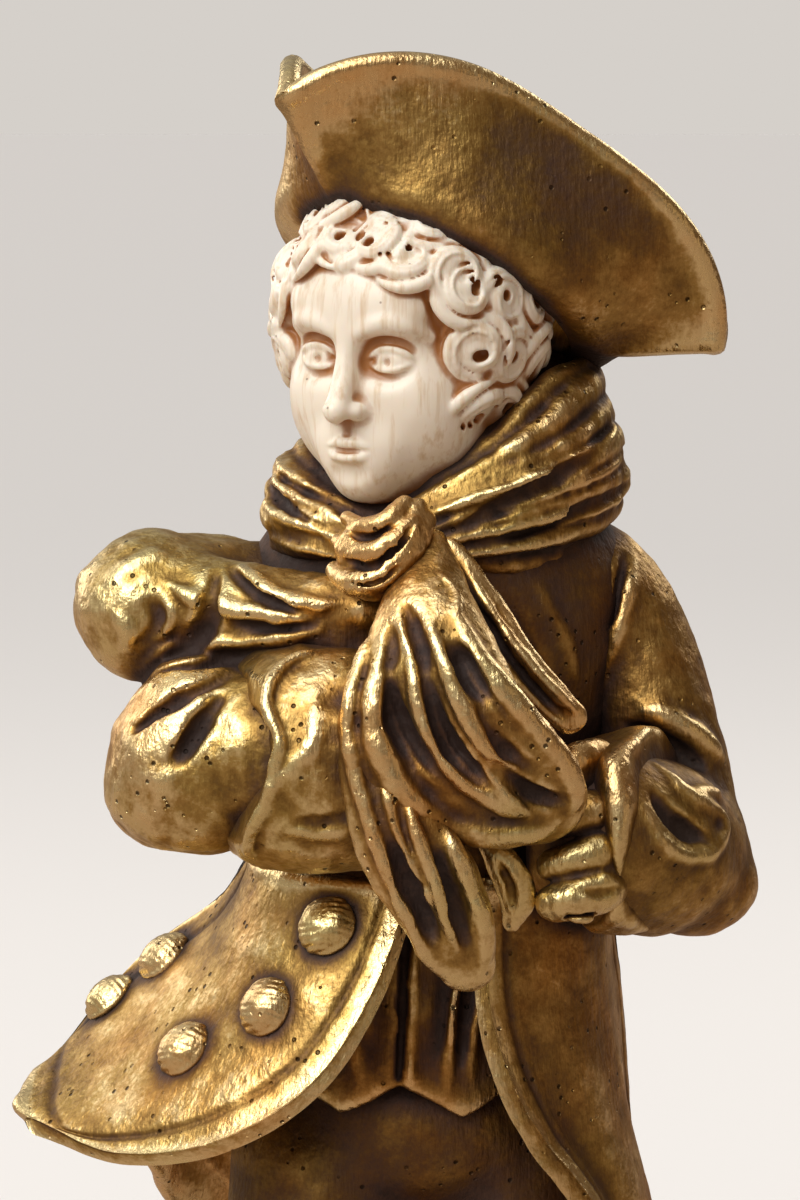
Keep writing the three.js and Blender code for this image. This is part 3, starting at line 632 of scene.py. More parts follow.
def make_felt():
    material, tree, body = shader("felt")
    place = node(tree, "ShaderNodeTexCoord").outputs["Object"]
    fibre = speckle(tree, place, 2400, 6, 0.8)
    tree.links.new(mixed(tree, fibre, (0.012, 0.05, 0.028), (0.035, 0.11, 0.065)), body.inputs["Base Color"])
    body.inputs["Roughness"].default_value = 0.95
    bump = node(tree, "ShaderNodeBump", {"Height": fibre, "Strength": 0.6, "Distance": 0.0002})
    tree.links.new(bump.outputs[0], body.inputs["Normal"])
    return material


BRONZE = make_bronze()
IVORY = make_ivory()
MARBLE = make_marble()
FELT = make_felt()

FRONT = (0, 1, 0)


def flat_line(points, depth):
    """Front-view (x, z) points as (x, y, z), all at one depth, ready to drape."""
    return [(x, depth, z) for x, z in points]


# ---- Scarf ends ----


def sculpt_tail_front():
    clay = Clay((-11, -31, 128), (17, -8, 160), 0.19)
    spine = [(0, -14.5, 157), (-0.2, -17.8, 152.5), (0.2, -21.0, 147.5), (1.8, -22.9, 142.5),
             (5.0, -23.2, 139), (8.4, -22.2, 137.6)]
    clay.tube(spine, [1.6, 3.8, 5.8, 6.7, 5.9, 4.4], flat=0.42, face=(0.1, 1, 0.22), k=0.8)
    clay.tube([(-2.4, -20.0, 150), (-4.5, -22.4, 145), (-4.3, -23.3, 141), (-2.2, -23.6, 137)],
              [1.6, 2.7, 2.9, 2.4],
              flat=0.6, face=(0, 1, 0), k=1.2)
    folds = [
        ([(-3.6, 150.2), (-4.3, 147.5), (-4.5, 144.5), (-4.1, 141.9), (-2.5, 138.5), (0.8, 135.6), (4, 134.6),
          (8.1, 134.8), (10.8, 136)], 1.35, 0.95),
        ([(-1.7, 151.6), (-1.4, 147.7), (-0.9, 145.4), (0.5, 141.9), (2.7, 139.3), (5.9, 137.2),
          (8.3, 136.2)], 0.85, 0.75),
        ([(-0.5, 152.5), (1, 149.1), (1.9, 146.8), (3.5, 143.6), (4.8, 141.8), (7, 140), (10.2, 138.9)], 0.8,
         0.95),
        ([(1.5, 153.4), (2.9, 150.7), (4.3, 148.3), (6.8, 145.4), (9.2, 142.6), (11.0, 140.2), (11.8, 137.7),
          (11.2, 136)], 1.15, 0.95),
        ([(2.1, 143.3), (4, 140.1), (5.9, 138.2), (8.1, 136.4)], 0.6, 0.55),
    ]
    for line, radius, height in folds:
        clay.fold(flat_line(line, -20), radius, height, k=0.45, taper=(0.25, 0.2))
    grooves = [
        ([(-3.3, 147.6), (-3.1, 145.4), (-2.4, 143.2), (-0.9, 141.0), (0.8, 139.4)], 1.15, -1.35),
        ([(-0.5, 148.4), (0.3, 145), (1.6, 142.2), (3.6, 139.8), (5.4, 138.6)], 0.95, -1.3),
        ([(1.6, 150.4), (2.5, 148.9), (3.6, 147.0), (4.8, 145.4)], 0.95, -1.1),
        ([(4.4, 143.8), (6.2, 141.8), (8.6, 139.8), (10.2, 138.9)], 0.7, -0.7),
        ([(4.6, 141.0), (6.8, 139.5), (9.1, 137.7), (11.0, 137.2)], 0.85, -1.15),
        ([(-2.2, 153.4), (-1.5, 151.7), (-0.6, 149.6), (-0.4, 147.6)], 0.7, -0.9),
        ([(-3.4, 151.8), (-3.2, 149.8), (-3.4, 148.0)], 0.7, -0.7),
    ]
    for line, radius, height in grooves:
        clay.fold(flat_line(line, -20), radius, height, k=0.6, taper=(0.45, 0.5))
    ridges = [
        [(-3.4, 146.2), (-2.9, 143.8), (-1.6, 141.2), (0.4, 138.8)],
        [(-0.2, 146.9), (0.7, 143.8), (2.2, 141.0), (4.4, 138.9)],
        [(2.3, 149.4), (3.4, 147.4), (4.7, 145.6), (6.0, 144.0)],
        [(5.4, 141.4), (7.6, 139.7), (9.8, 138.4)],
    ]
    for line in ridges:
        clay.fold(flat_line(line, -20), 0.34, 0.3, k=0.3, taper=(0.4, 0.4))
    # The pad where the end leaves the knot.
    clay.ball((0.7, -17.6, 153.9), (1.7, 1.3, 2.3), turned(0, 0), k=0.6)
    clay.fold(flat_line([(0.6, 155.6), (2.0, 154.2), (2.3, 152.2)], -20), 0.35, 0.35, k=0.3)
    # The lip at the left border.
    clay.fold(flat_line([(-4.9, 150.6), (-6.2, 147), (-6.7, 143.6), (-6.0, 139.4), (-4.7, 136),
                         (-3.4, 133.2)], -19), 0.75, 0.7,
              k=0.35, taper=(0.15, 0.15))
    clay.rough(2.0, 0.26, 3, 3)
    return clay


def sculpt_tail_lower():
    clay = Clay((-11, -31, 117), (11, -14, 152), 0.19)
    spine = [(-5.6, -22.2, 147), (-4.9, -23.2, 140), (-2.2, -23.7, 134), (1.0, -23.5, 128.6),
             (2.9, -22.8, 123.6)]
    clay.tube(spine, [1.3, 2.6, 4.0, 3.9, 2.4], flat=0.5, face=(0, 1, 0.1), k=0.8)
    folds = [
        ([(-6.6, 146.4), (-6.6, 142.3), (-5.4, 137.3), (-3.7, 132.6), (-2.0, 128.5), (-0.5, 125),
          (0.9, 122.6)], 0.75, 0.75),
        ([(-2.0, 137.8), (-1.0, 134.4), (0.3, 131.5), (1.2, 128.6), (2.4, 124.6)], 0.75, 0.8),
        ([(1.0, 135.6), (2.3, 132.6), (3.6, 129.4), (4.5, 126.4), (4.3, 122.9)], 0.85, 0.75),
        ([(-4.0, 139.6), (-2.8, 135.4), (-1.2, 131.2), (0.2, 127.4)], 0.5, 0.5),
    ]
    for line, radius, height in folds:
        clay.fold(flat_line(line, -20), radius, height, k=0.4, taper=(0.2, 0.22))
    grooves = [
        ([(-3.4, 134.8), (-2.0, 131.2), (-0.6, 128.0), (0.7, 125.4)], 0.9, -1.05),
        ([(0.3, 134), (1.4, 130.8), (2.3, 127.8), (3.2, 125.2)], 0.75, -0.95),
    ]
    for line, radius, height in grooves:
        clay.fold(flat_line(line, -20), radius, height, k=0.5, taper=(0.4, 0.4))
    # The small leaf beside it.
    clay.tube([(4.6, -20.2, 133.2), (6.2, -20.4, 131), (7.2, -20.2, 128.6), (6.6, -19.8, 126.4)],
              [0.8, 1.5, 1.5, 0.8],
              flat=0.55, face=(0, 1, 0), k=0.5)
    clay.fold(flat_line([(5.4, 132), (6.5, 129.8), (6.7, 127.6)], -20), 0.45, -0.55, k=0.3)
    clay.rough(2.0, 0.24, 5, 3)
    return clay


def sculpt_tail_side():
    clay = Clay((-1, -24, 138), (17, -10, 160), 0.2)
    clay.tube([(1.4, -14.8, 156.4), (3.7, -16.4, 152.6), (6.0, -17.9, 149.0), (8.9, -18.8, 145.8),
               (11.4, -18.8, 143.4)],
              [1.5, 2.1, 2.1, 1.8, 1.5], flat=0.55, face=(0.2, 1, 0.1), k=0.4)
    for line, radius, height in (
        ([(2.8, 155.5), (4.8, 152.4), (6.9, 149.4), (9.6, 146.3), (12.2, 143.7)], 0.45, 0.55),
        ([(2.2, 153.4), (4.4, 150.0), (7.0, 146.4), (9.4, 144.0), (11.2, 142.6)], 0.45, 0.5),
    ):
        clay.fold(flat_line(line, -16), radius, height, k=0.3, taper=(0.2, 0.12))
    clay.fold(flat_line([(3.4, 153), (5.7, 149.6), (8.2, 146.3), (10.8, 143.7)], -16), 0.4, -0.8, k=0.25)
    clay.rough(1.8, 0.2, 6, 3)
    return clay


# ---- Scarf wrap and knot ----


def ring_point(angle, radius, height):
    """A point of the muffler: angle round it from +X, distance from its axis, height."""
    a = np.radians(angle)
    return np.stack([1.2 + radius * np.cos(a), 0.6 + 0.9 * radius * np.sin(a), height + 0 * a], -1)


KNOT_ANGLE = -111.0


def sculpt_wrap():
    clay = Clay((-19, -18, 149), (21, 18, 174), 0.23)
    turn = np.linspace(0, 360, 73)
    angle = KNOT_ANGLE + turn
    away = np.minimum(turn, 360 - turn)
    open_out = 1 - np.exp(-((away / 44) ** 1.5))
    # The left side of the loop lies lower than the right.
    side = np.where(turn < 180, 1.0, 0.74)

    def level(height, number):
        """Heights round the neck of a fold that lies at height on the figure's left."""
        tilt = 1.6 * np.sin(np.radians(angle + 80)) - np.where(turn >= 180, 1.5, 0.0)
        slow, quick = np.radians(2 * angle + 70 * number), np.radians(5 * angle + 40 * number)
        wander = 0.55 * np.sin(slow) + 0.3 * np.sin(quick)
        return 156.6 + (height - 156.6) * (0.2 + 0.8 * open_out) * side + (tilt + wander) * open_out

    for height, radius in ((157.6, 10.0), (162.0, 10.4), (165.6, 9.4)):
        clay.tube(ring_point(angle, radius - 0.5 * (1 - open_out), level(height, 0)), 2.6 + 1.2 * open_out,
                  k=0.8, steps=73)
    folds = [
        # (height, distance out, half width)
        (154.4, 13.2, 1.5), (156.7, 14.6, 1.35), (158.9, 15.2, 1.75), (161.2, 15.0, 1.3), (163.2, 15.2, 1.8),
        (165.6, 14.6, 1.35), (167.4, 13.9, 1.6), (169.0, 12.6, 1.1),
    ]
    for number, (height, radius, width) in enumerate(folds):
        out = radius - 0.8 * (1 - open_out) + 0.45 * np.sin(np.radians(3 * angle + 50 * number))
        thick = width * (0.5 + 0.5 * open_out) * (1 + 0.16 * np.sin(np.radians(4 * angle + 95 * number)))
        clay.tube(ring_point(angle, out - thick * 0.75, level(height, number)), thick, k=0.16, steps=110)
    # Finer folds on top of the big ones, fanning out of the knot on both sides.
    fans = [
        (8, 118, 157.0, 164.4, 15.4, 0.5), (8, 96, 156.2, 160.4, 15.6, 0.5),
        (10, 132, 158.4, 168.0, 15.0, 0.5),
        (12, 74, 155.4, 157.0, 15.2, 0.5), (14, 70, 157.4, 163.0, 15.2, 0.42),
        (30, 110, 158.0, 162.6, 15.6, 0.42),
        (-6, -78, 157.6, 162.2, 15.0, 0.45), (-6, -64, 156.4, 159.4, 15.2, 0.42),
        (-8, -84, 158.8, 163.4, 14.6, 0.45),
        (-6, -60, 155.4, 156.4, 15.0, 0.42), (150, 230, 158.0, 160.6, 15.6, 0.5),
        (140, 215, 163.4, 164.4, 15.0, 0.5),
    ]
    for start, stop, low, high, radius, width in fans:
        t = np.linspace(0, 1, 14)
        path = KNOT_ANGLE + start + (stop - start) * t
        line = ring_point(path, radius + 2.0, low + (high - low) * t**0.8)
        inward = (ring_point(path, 6.0, 160.0) - line) * (1, 1, 0)
        clay.fold(line, width, width * 0.85, toward=inward, k=0.16, taper=(0.2, 0.45))
    # Deep valleys where the layers part on the figure's left.
    for start, stop, low, high, width in ((26, 86, 158.6, 165.4, 0.9), (40, 108, 157.2, 161.2, 0.8),
                                          (-20, -70, 158.0, 161.0, 0.6)):
        t = np.linspace(0, 1, 12)
        path = KNOT_ANGLE + start + (stop - start) * t
        line = ring_point(path, 17.5, low + (high - low) * t)
        clay.fold(line, width, -1.3 * width, toward=(ring_point(path, 6.0, 160.0) - line) * (1, 1, 0), k=0.25,
                  taper=(0.5, 0.5))
    clay.rough(2.2, 0.34, 8, 3)
    return clay


def sculpt_knot():
    clay = Clay((-12, -24, 149), (5, -10, 164), 0.16)
    clay.ball((-3.9, -15.2, 156.6), (4.0, 2.7, 2.8), turned(0, 0), k=0.8)
    bands = [
        ([(-7.9, -14.2, 154.9), (-6.2, -17.2, 154.3), (-4.0, -18.2, 155.1), (-2.0, -17.6, 156.8),
          (-0.4, -15.6, 159.2)], [0.8, 1.2, 1.3, 1.3, 0.9]),
        ([(-7.6, -14.0, 157.3), (-5.8, -16.9, 156.6), (-3.8, -18.0, 157.2), (-1.9, -17.2, 158.6),
          (-1.0, -15.4, 160.3)], [0.7, 1.0, 1.15, 1.1, 0.8]),
        ([(-6.8, -13.8, 159.2), (-5.2, -16.2, 158.8), (-3.5, -17.0, 159.4), (-2.2, -15.9, 160.8)],
         [0.6, 0.9, 1.0, 0.7]),
        ([(-6.6, -15.6, 153.8), (-4.8, -17.2, 153.6), (-3.0, -17.4, 154.4), (-1.2, -16.6, 155.6)],
         [0.6, 0.9, 0.95, 0.8]),
    ]
    for line, radii in bands:
        clay.tube(line, radii, k=0.3)
    for line, radius, height in (
        ([(-7.6, 156.2), (-5, 155.8), (-2.6, 157.6), (-1.2, 159.6)], 0.4, -0.7),
        ([(-7.4, 158.6), (-5, 158.0), (-3, 159.2)], 0.35, -0.55),
        ([(-6.8, 154.4), (-4.4, 154.6), (-2.2, 156.2)], 0.3, -0.5),
    ):
        clay.fold(flat_line(line, -17), radius, height, k=0.2)
    clay.rough(1.2, 0.2, 9, 3)
    return clay


# ---- Sleeves, cuffs and hands ----


def sculpt_right_sleeve():
    clay = Clay((-33, -26, 126), (-3, 10, 161), 0.23)
    clay.tube([(-9, 1.6, 150.8), (-17, 0.2, 150.6), (-23.2, -1.8, 150.9), (-24.4, -3, 150.4)],
              [4.8, 4.7, 5.8, 5.8], k=1.2)
    clay.ball((-23.6, -3.2, 149.8), (5.6, 5.4, 5.8), k=1.0)
    clay.tube([(-22, -4, 150.8), (-16, -7.4, 150.6), (-10, -10.4, 150.8), (-5.5, -12.5, 151.6)],
              [4.6, 4.0, 3.4, 2.6], k=1.4)
    clay.ball((-20.4, -9.4, 137.8), (6.7, 8.2, 7.3), k=0.6)
    clay.ball((-19.2, -8.8, 142.6), (5.2, 7.6, 4.8), k=1.2)
    clay.ball((-22.6, -9.2, 135.4), (4.5, 7.0, 4.3), k=1.4)
    clay.ball((-18.0, -9.6, 134.8), (5.0, 7.4, 4.2), k=1.4)
    clay.tube([(-19, -9.6, 139.2), (-13, -12.6, 139.4), (-7, -14.2, 139.4)], [7.2, 6.8, 6.0], k=1.2)
    clay.tube([(-20.5, -5, 146), (-14, -8, 147), (-6, -11, 148.4)], [3.6, 3.6, 3.4], k=1.0)
    front = (0.25, 1, 0)
    for line, radius, height in (
        ([(-19.6, 156.6), (-16.2, 154.6), (-12.8, 152.9), (-8.9, 151.9), (-5.5, 152.3)], 0.9, 0.8),
        ([(-22.4, 153.2), (-19.5, 152.0), (-16, 151.3), (-12.3, 151.0), (-8.0, 150.8)], 0.85, 0.7),
        ([(-24.7, 145.4), (-22.1, 147.4), (-18.1, 148.2), (-14.4, 148.5), (-10.5, 149.3), (-7, 150.2)], 0.7,
         0.7),
        ([(-22.8, 152.8), (-21.3, 151.2), (-21.6, 149.6), (-23.4, 148.4)], 0.8, 0.45),
        ([(-26.4, 150.6), (-25.2, 148.8), (-26.0, 147.2)], 0.8, 0.35),
        ([(-27.4, 152.6), (-25.2, 154.4), (-22.6, 155.2)], 1.2, 0.3),
    ):
        clay.fold(flat_line(line, -8), radius, height, toward=front, k=0.45, taper=(0.25, 0.25))
    for line, radius, height in (
        ([(-18.8, 155.2), (-16.6, 153.8), (-13.4, 152.2), (-9, 151.3)], 0.6, -0.8),
        ([(-19.4, 155.2), (-18.5, 153.0), (-18.7, 150.4), (-20.4, 148.2), (-23.2, 146.8)], 1.2, -1.1),
        ([(-17.0, 150.2), (-13.3, 149.9), (-8.8, 150.2)], 0.5, -0.6),
        ([(-24.6, 151.8), (-23.4, 150.4), (-24.0, 148.8), (-25.6, 147.8)], 0.7, -0.5),
        ([(-15.8, 146.3), (-19.3, 144.7), (-22.1, 142.9), (-24.4, 141.2)], 0.8, -1.15),
        ([(-15.9, 145.0), (-17.6, 142.8), (-18.8, 140.9), (-19.9, 139.2)], 0.95, -1.2),
        ([(-24.6, 145.0), (-21.9, 146.3), (-18.0, 147.0), (-14.6, 147.4)], 0.6, -0.9),
    ):
        clay.fold(flat_line(line, -12), radius, height, toward=front, k=0.5, taper=(0.5, 0.4))
    behind, beside = (0, -1, 0), (1, 0.15, 0)
    for line, radius, height in (
        ([(-27, 4, 148), (-22, 4, 149.6), (-14, 4, 149.4)], 1.0, -1.0),
        ([(-28, 4, 152.4), (-22, 4, 153.6), (-14, 4, 153)], 0.9, -0.8),
        ([(-25, 4, 155.4), (-19, 4, 155.2), (-13, 4, 153.8)], 0.9, 0.55),
        ([(-27, 4, 150.4), (-21, 4, 151.6), (-14, 4, 151.2)], 0.9, 0.6),
        ([(-26, 2, 139.6), (-22, 2, 141.6), (-17, 2, 143.4)], 0.9, -1.1),
        ([(-25.6, 2, 136.2), (-21.4, 2, 138.6), (-17, 2, 141.2)], 0.9, -1.0),
        ([(-23.4, 2, 133.4), (-19.6, 2, 136), (-16, 2, 139)], 0.8, -0.8),
    ):
        clay.fold(line, radius, height, toward=behind, k=0.5, taper=(0.5, 0.35))
    for line, radius, height in (
        ([(-30, -5, 153.6), (-30, -1, 151.8), (-30, 1, 151)], 1.0, 0.3),
        ([(-29, -9, 140.4), (-29, -5, 138.6), (-29, -2, 138.2)], 1.0, -0.3),
    ):
        clay.fold(line, radius, height, toward=beside, k=0.6, taper=(0.45, 0.45))
    clay.rough(3.2, 0.42, 11, 3)
    return clay


CUFF_EDGE = [(130.4, -13.2), (131.1, -14.8), (132.7, -15.6), (134.9, -15.0), (137.4, -13.7), (139.9, -13.1),
             (142.4, -12.8), (144.3, -13.9), (146.5, -13.6), (147.9, -12.0), (148.6, -9.3)]


def sculpt_right_cuff():
    clay = Clay((-19, -28, 126), (3, -4, 151), 0.21)
    clay.tube([(-17, -11.2, 139.4), (-10, -14.8, 139.2), (-2.6, -16.6, 139.6)], [9.3, 9.5, 8.8], flat=0.8,
              face=(-0.35, 1, 0), k=0.5)
    heights, edges = zip(*CUFF_EDGE)
    clay.trim(lambda x, y, z: np.interp(z, heights, edges) - 0.28 * (y + 20) - x, k=0.45)
    clay.trim(lambda x, y, z: x + 1.5, k=1.0)
    edge = [(x + 0.6, z) for z, x in CUFF_EDGE[1:]]
    clay.fold(flat_line(edge, -20), 0.62, 0.75, k=0.3, taper=(0.1, 0.1))
    for x, z, size in ((-7.2, 146.2, 3.2), (-6.4, 139.6, 3.4), (-9.6, 132.8, 2.6), (-12.0, 136.2, 1.8)):
        at, normal, _ = clay.drape([(x, -20, z)], FRONT)
        clay.ball(at[0] + normal[0] * size * 0.93, size, k=0.8, carve=True)
    clay.fold(flat_line([(-9.3, 144.9), (-9.3, 142.2), (-10.6, 140.3), (-12.5, 138.8)], -22), 0.8, 0.25,
              k=0.8)
    clay.fold(flat_line([(-11.2, 135.2), (-8.7, 135.1), (-6.4, 136.0)], -22), 0.7, -0.35, k=0.6)
    clay.fold(flat_line([(-11.6, 134.4), (-8.9, 134.1), (-6.4, 134.8)], -22), 0.6, 0.3, k=0.6)
    clay.rough(1.8, 0.24, 13, 3)
    return clay


def sculpt_left_sleeve():
    clay = Clay((8, -22, 119), (31, 10, 161), 0.23)
    clay.tube([(10, 2, 154.4), (14.4, 1.2, 150.6), (17.9, 0, 144.6), (20.0, -1.6, 137), (21.5, -3.2, 129.6)],
              [4.6, 5.6, 5.4, 5.5, 5.6], k=1.0)
    clay.ball((21.2, -4.6, 129.4), (5.4, 6.2, 6.2), k=1.2)
    clay.ball((22.7, -5.6, 127.0), (5.3, 5.5, 4.5), k=1.0)
    clay.tube([(20.7, -5, 129.6), (18.4, -9.4, 130.8), (14.6, -13, 132.4)], [6.5, 7.5, 7.4], k=1.0)
    for line, radius, height in (
        ([(17.4, 142.0), (19.7, 141.4), (21.9, 140.3), (23.6, 138.8), (25.3, 136.9)], 1.1, 0.85),
        ([(21.4, 136.2), (23.4, 135.8), (25.2, 134.9)], 0.8, 0.6),
        ([(18.6, 138.6), (19.8, 137.6), (21.6, 135.9), (24.0, 134.4), (24.6, 132.8), (23.2, 131.2),
          (20.6, 131.6),
          (18.4, 133.6), (17.6, 136.0)], 0.75, 0.6),
        ([(17.6, 154.6), (16.6, 150.4), (15.2, 146), (14.4, 143.2)], 0.55, 0.4),
    ):
        clay.fold(flat_line(line, -10), radius, height, k=0.5, taper=(0.25, 0.25))
    for line, radius, height in (
        ([(16.2, 140.7), (19.0, 139.6), (21.4, 138.2), (23.8, 136.6)], 1.0, -1.4),
        ([(18.4, 137.2), (19.6, 135.0), (21.4, 133.5), (23.2, 132.5)], 1.0, -1.1),
        ([(16.6, 155.0), (15.6, 150.2), (14.2, 145.6), (13.6, 143)], 0.6, -0.9),
    ):
        clay.fold(flat_line(line, -10), radius, height, k=0.4, taper=(0.35, 0.4))
    for line, radius, height in (
        ([(20, 8, 139), (23, 8, 136), (25, 8, 131)], 0.8, -0.7),
        ([(19, 8, 136), (21.5, 8, 132), (23, 8, 127)], 0.8, -0.6),
        ([(17, 8, 152), (20, 8, 145), (22, 8, 139)], 0.9, 0.4),
    ):
        clay.fold(line, radius, height, toward=(-0.3, -1, 0), k=0.6)
    clay.rough(3.4, 0.34, 17, 3)
    return clay


def sculpt_left_cuff():
    clay = Clay((8, -22, 121), (21, -5, 145), 0.24)
    clay.tube([(18.2, -9.6, 132.6), (15.8, -12.4, 133.0), (13.6, -14.4, 133.2)], [8.5, 8.9, 8.7], flat=0.8,
              face=(0.4, 1, 0), k=0.5)
    clay.trim(lambda x, y, z: x - 17.6 - 0.34 * (y + 16) + 0.5 * np.sin(z * 0.5), k=1.0)
    clay.trim(lambda x, y, z: 13.4 - 0.3 * (y + 16) - x - 0.5 * np.sin(z * 0.42 + 1), k=1.0)
    clay.trim(lambda x, y, z: z - 140.6 - 0.4 * (x - 15), k=1.2)
    clay.rough(2.4, 0.26, 19)
    return clay


def sculpt_left_hand():
    clay = Clay((5, -26, 121), (19, -9, 147), 0.17)
    clay.ball((13.0, -15.4, 135.0), (2.8, 2.7, 5.4), k=0.8)
    clay.tube([(15.0, -15.2, 137.4), (15.3, -17.4, 134.4), (14.8, -18.4, 131.4), (14.2, -18.0, 129.2)],
              [2.0, 2.0, 2.2, 2.0], k=0.7)
    # Four fingers close round the scarf's end. The lowest is the stoutest and shows its nail.
    fingers = [
        ([(15.0, -17.6, 129.9), (13.6, -19.9, 129.3), (11.7, -20.8, 128.7), (10.3, -20.3, 128.2)], 2.1),
        ([(15.1, -17.6, 133.0), (13.4, -19.9, 132.4), (11.6, -20.4, 131.8), (10.0, -19.8, 131.2)], 1.65),
        ([(14.9, -16.8, 136.0), (13.2, -19.0, 135.6), (11.4, -19.6, 135.0), (9.8, -19.0, 134.4)], 1.6),
        ([(13.6, -15.0, 138.2), (12.2, -16.8, 137.9), (10.8, -17.6, 137.4), (9.5, -17.2, 136.9)], 1.4),
    ]
    for line, radius in fingers:
        clay.tube(line, [radius * 0.95, radius, radius * 0.92, radius * 0.8], k=0.3)
        clay.ball(line[1], (radius * 1.05, radius * 1.02, radius * 1.0), k=0.5)
    clay.ball((15.2, -18.4, 134.6), (1.5, 1.5, 1.3), k=0.8)
    # A crease across the lowest finger, and its nail.
    clay.fold(flat_line([(15.8, 129.6), (14, 129.3), (12, 129.8)], -19), 0.4, -0.35, k=0.3)
    clay.ball((12.3, -21.6, 127.2), (1.35, 0.9, 0.62), turned(0, 30), k=0.2, carve=True)
    clay.ball((12.3, -21.25, 127.2), (1.2, 0.8, 0.5), turned(0, 30), k=0.15)
    # The thumb lies over the top.
    clay.tube([(13.8, -14.8, 139.4), (12.4, -17.0, 139.6), (10.8, -18.2, 139.0)], [1.6, 1.5, 1.2], k=0.6)
    clay.rough(1.5, 0.2, 21, 3)
    return clay


def sculpt_right_hand():
    clay = Clay((-8, -24, 129), (11, -12, 145), 0.26)
    clay.tube([(-3, -17.6, 139), (1, -18.2, 138.4), (5.4, -17.4, 137)], [3.6, 4.0, 2.8], flat=0.55,
              face=(0, 1, 0), k=0.5)
    for number in range(4):
        z = 140.4 - 2.0 * number
        clay.tube([(3.6, -17.6, z), (6.4, -17.2, z - 0.4), (8.8, -16.2, z - 0.8)], [1.2, 1.15, 0.9], k=0.3)
    return clay


# ---- Trunk ----


def sculpt_bodice():
    clay = Clay((-20, -17, 124), (21, 16, 161), 0.34)
    clay.tube([(-0.8, 0.2, 121), (-0.2, 0.2, 130), (0.6, 0.4, 140), (0.9, 0.4, 148), (0.9, 0.6, 154)],
              [14.6, 14.4, 14.8, 15.6, 12.6], flat=0.8, face=(0, 1, 0), k=1.0)
    clay.tube([(-9, 1.6, 151.4), (0, 1.6, 153.6), (10, 1.6, 152)], [6.6, 7.6, 6.8], k=3)
    clay.trim(lambda x, y, z: 127.4 - z, k=0.8)
    # Chest folds at the front, a centre seam, two side seams and pulled folds at the back.
    for line, radius, height in (
        ([(-14, 147.6), (-9, 148.4), (-4, 149.8)], 0.6, 0.4),
        ([(6, 152), (8.5, 147), (10, 142)], 0.7, -0.5),
        ([(9, 153), (11, 149), (12.4, 144)], 0.8, 0.4),
    ):
        clay.fold(flat_line(line, -10), radius, height, k=0.6)
    back = (0, -1, 0)
    clay.fold([(0.8, 12, 153), (0.4, 12, 142), (0, 12, 128.6)], 0.42, -0.55, toward=back, k=0.3,
              taper=(0.1, 0.1))
    for side in (-1, 1):
        clay.fold([(side * 12.6, 12, 150), (side * 8.6, 12, 142), (side * 6.2, 12, 134),
                   (side * 5.6, 12, 128.6)], 0.4, -0.5,
                  toward=back, k=0.3, taper=(0.1, 0.1))
        clay.fold([(side * 14, 10, 146), (side * 10, 12, 140), (side * 5, 12, 136)], 1.0, 0.55, toward=back,
                  k=0.8)
        clay.fold([(side * 13, 10, 139), (side * 9, 12, 134), (side * 4, 12, 131)], 0.9, 0.5, toward=back,
                  k=0.8)
        clay.fold([(side * 13, 10, 151), (side * 8, 12, 148), (side * 3, 12, 147)], 1.1, 0.5, toward=back,
                  k=0.9)
    clay.rough(4.0, 0.3, 23)
    return clay


def sculpt_waistcoat():
    clay = Clay((-18, -15, 103), (18, 14, 131), 0.32)
    clay.tube([(-0.8, -0.2, 103), (-0.7, 0, 110), (-0.5, 0, 118), (-0.4, 0.2, 130)], [14.2, 14.0, 13.6, 13.4],
              flat=0.8,
              face=(0, 1, 0), k=0.8)
    # The fronts part at the bottom and hang in two points.
    clay.trim(lambda x, y, z: 107.6 + 0.55 * np.abs(np.abs(x + 2.4) - 5.2) * (y < 0) - z, k=0.8)
    clay.trim(lambda x, y, z: z - 129.6, k=0.8)
    clay.fold(flat_line([(-2.0, 128), (-2.2, 120), (-2.5, 113), (-3.0, 107)], -11), 0.5, -0.9, k=0.3,
              taper=(0.1, 0.1))
    clay.fold(flat_line([(-1.2, 128), (-1.3, 120), (-1.5, 113), (-1.7, 107.6)], -11), 0.45, 0.4, k=0.3,
              taper=(0.1, 0.1))
    for line, radius, height in (
        ([(-7.6, 126), (-6.0, 120), (-5.0, 114)], 0.9, 0.6),
        ([(3.6, 126.4), (2.4, 121), (1.6, 115), (1.4, 109.6)], 1.0, 0.75),
        ([(5.4, 121), (3.8, 116), (3.4, 110.6)], 0.7, 0.5),
        ([(-8.4, 119), (-6.4, 114.6), (-5.6, 110)], 0.8, 0.5),
        ([(2.8, 125), (1.2, 119), (0.6, 113)], 0.7, -0.7),
        ([(4.8, 124.6), (3.2, 118), (2.6, 112)], 0.6, -0.6),
    ):
        clay.fold(flat_line(line, -11), radius, height, k=0.5)
    clay.rough(3.0, 0.26, 25)
    return clay


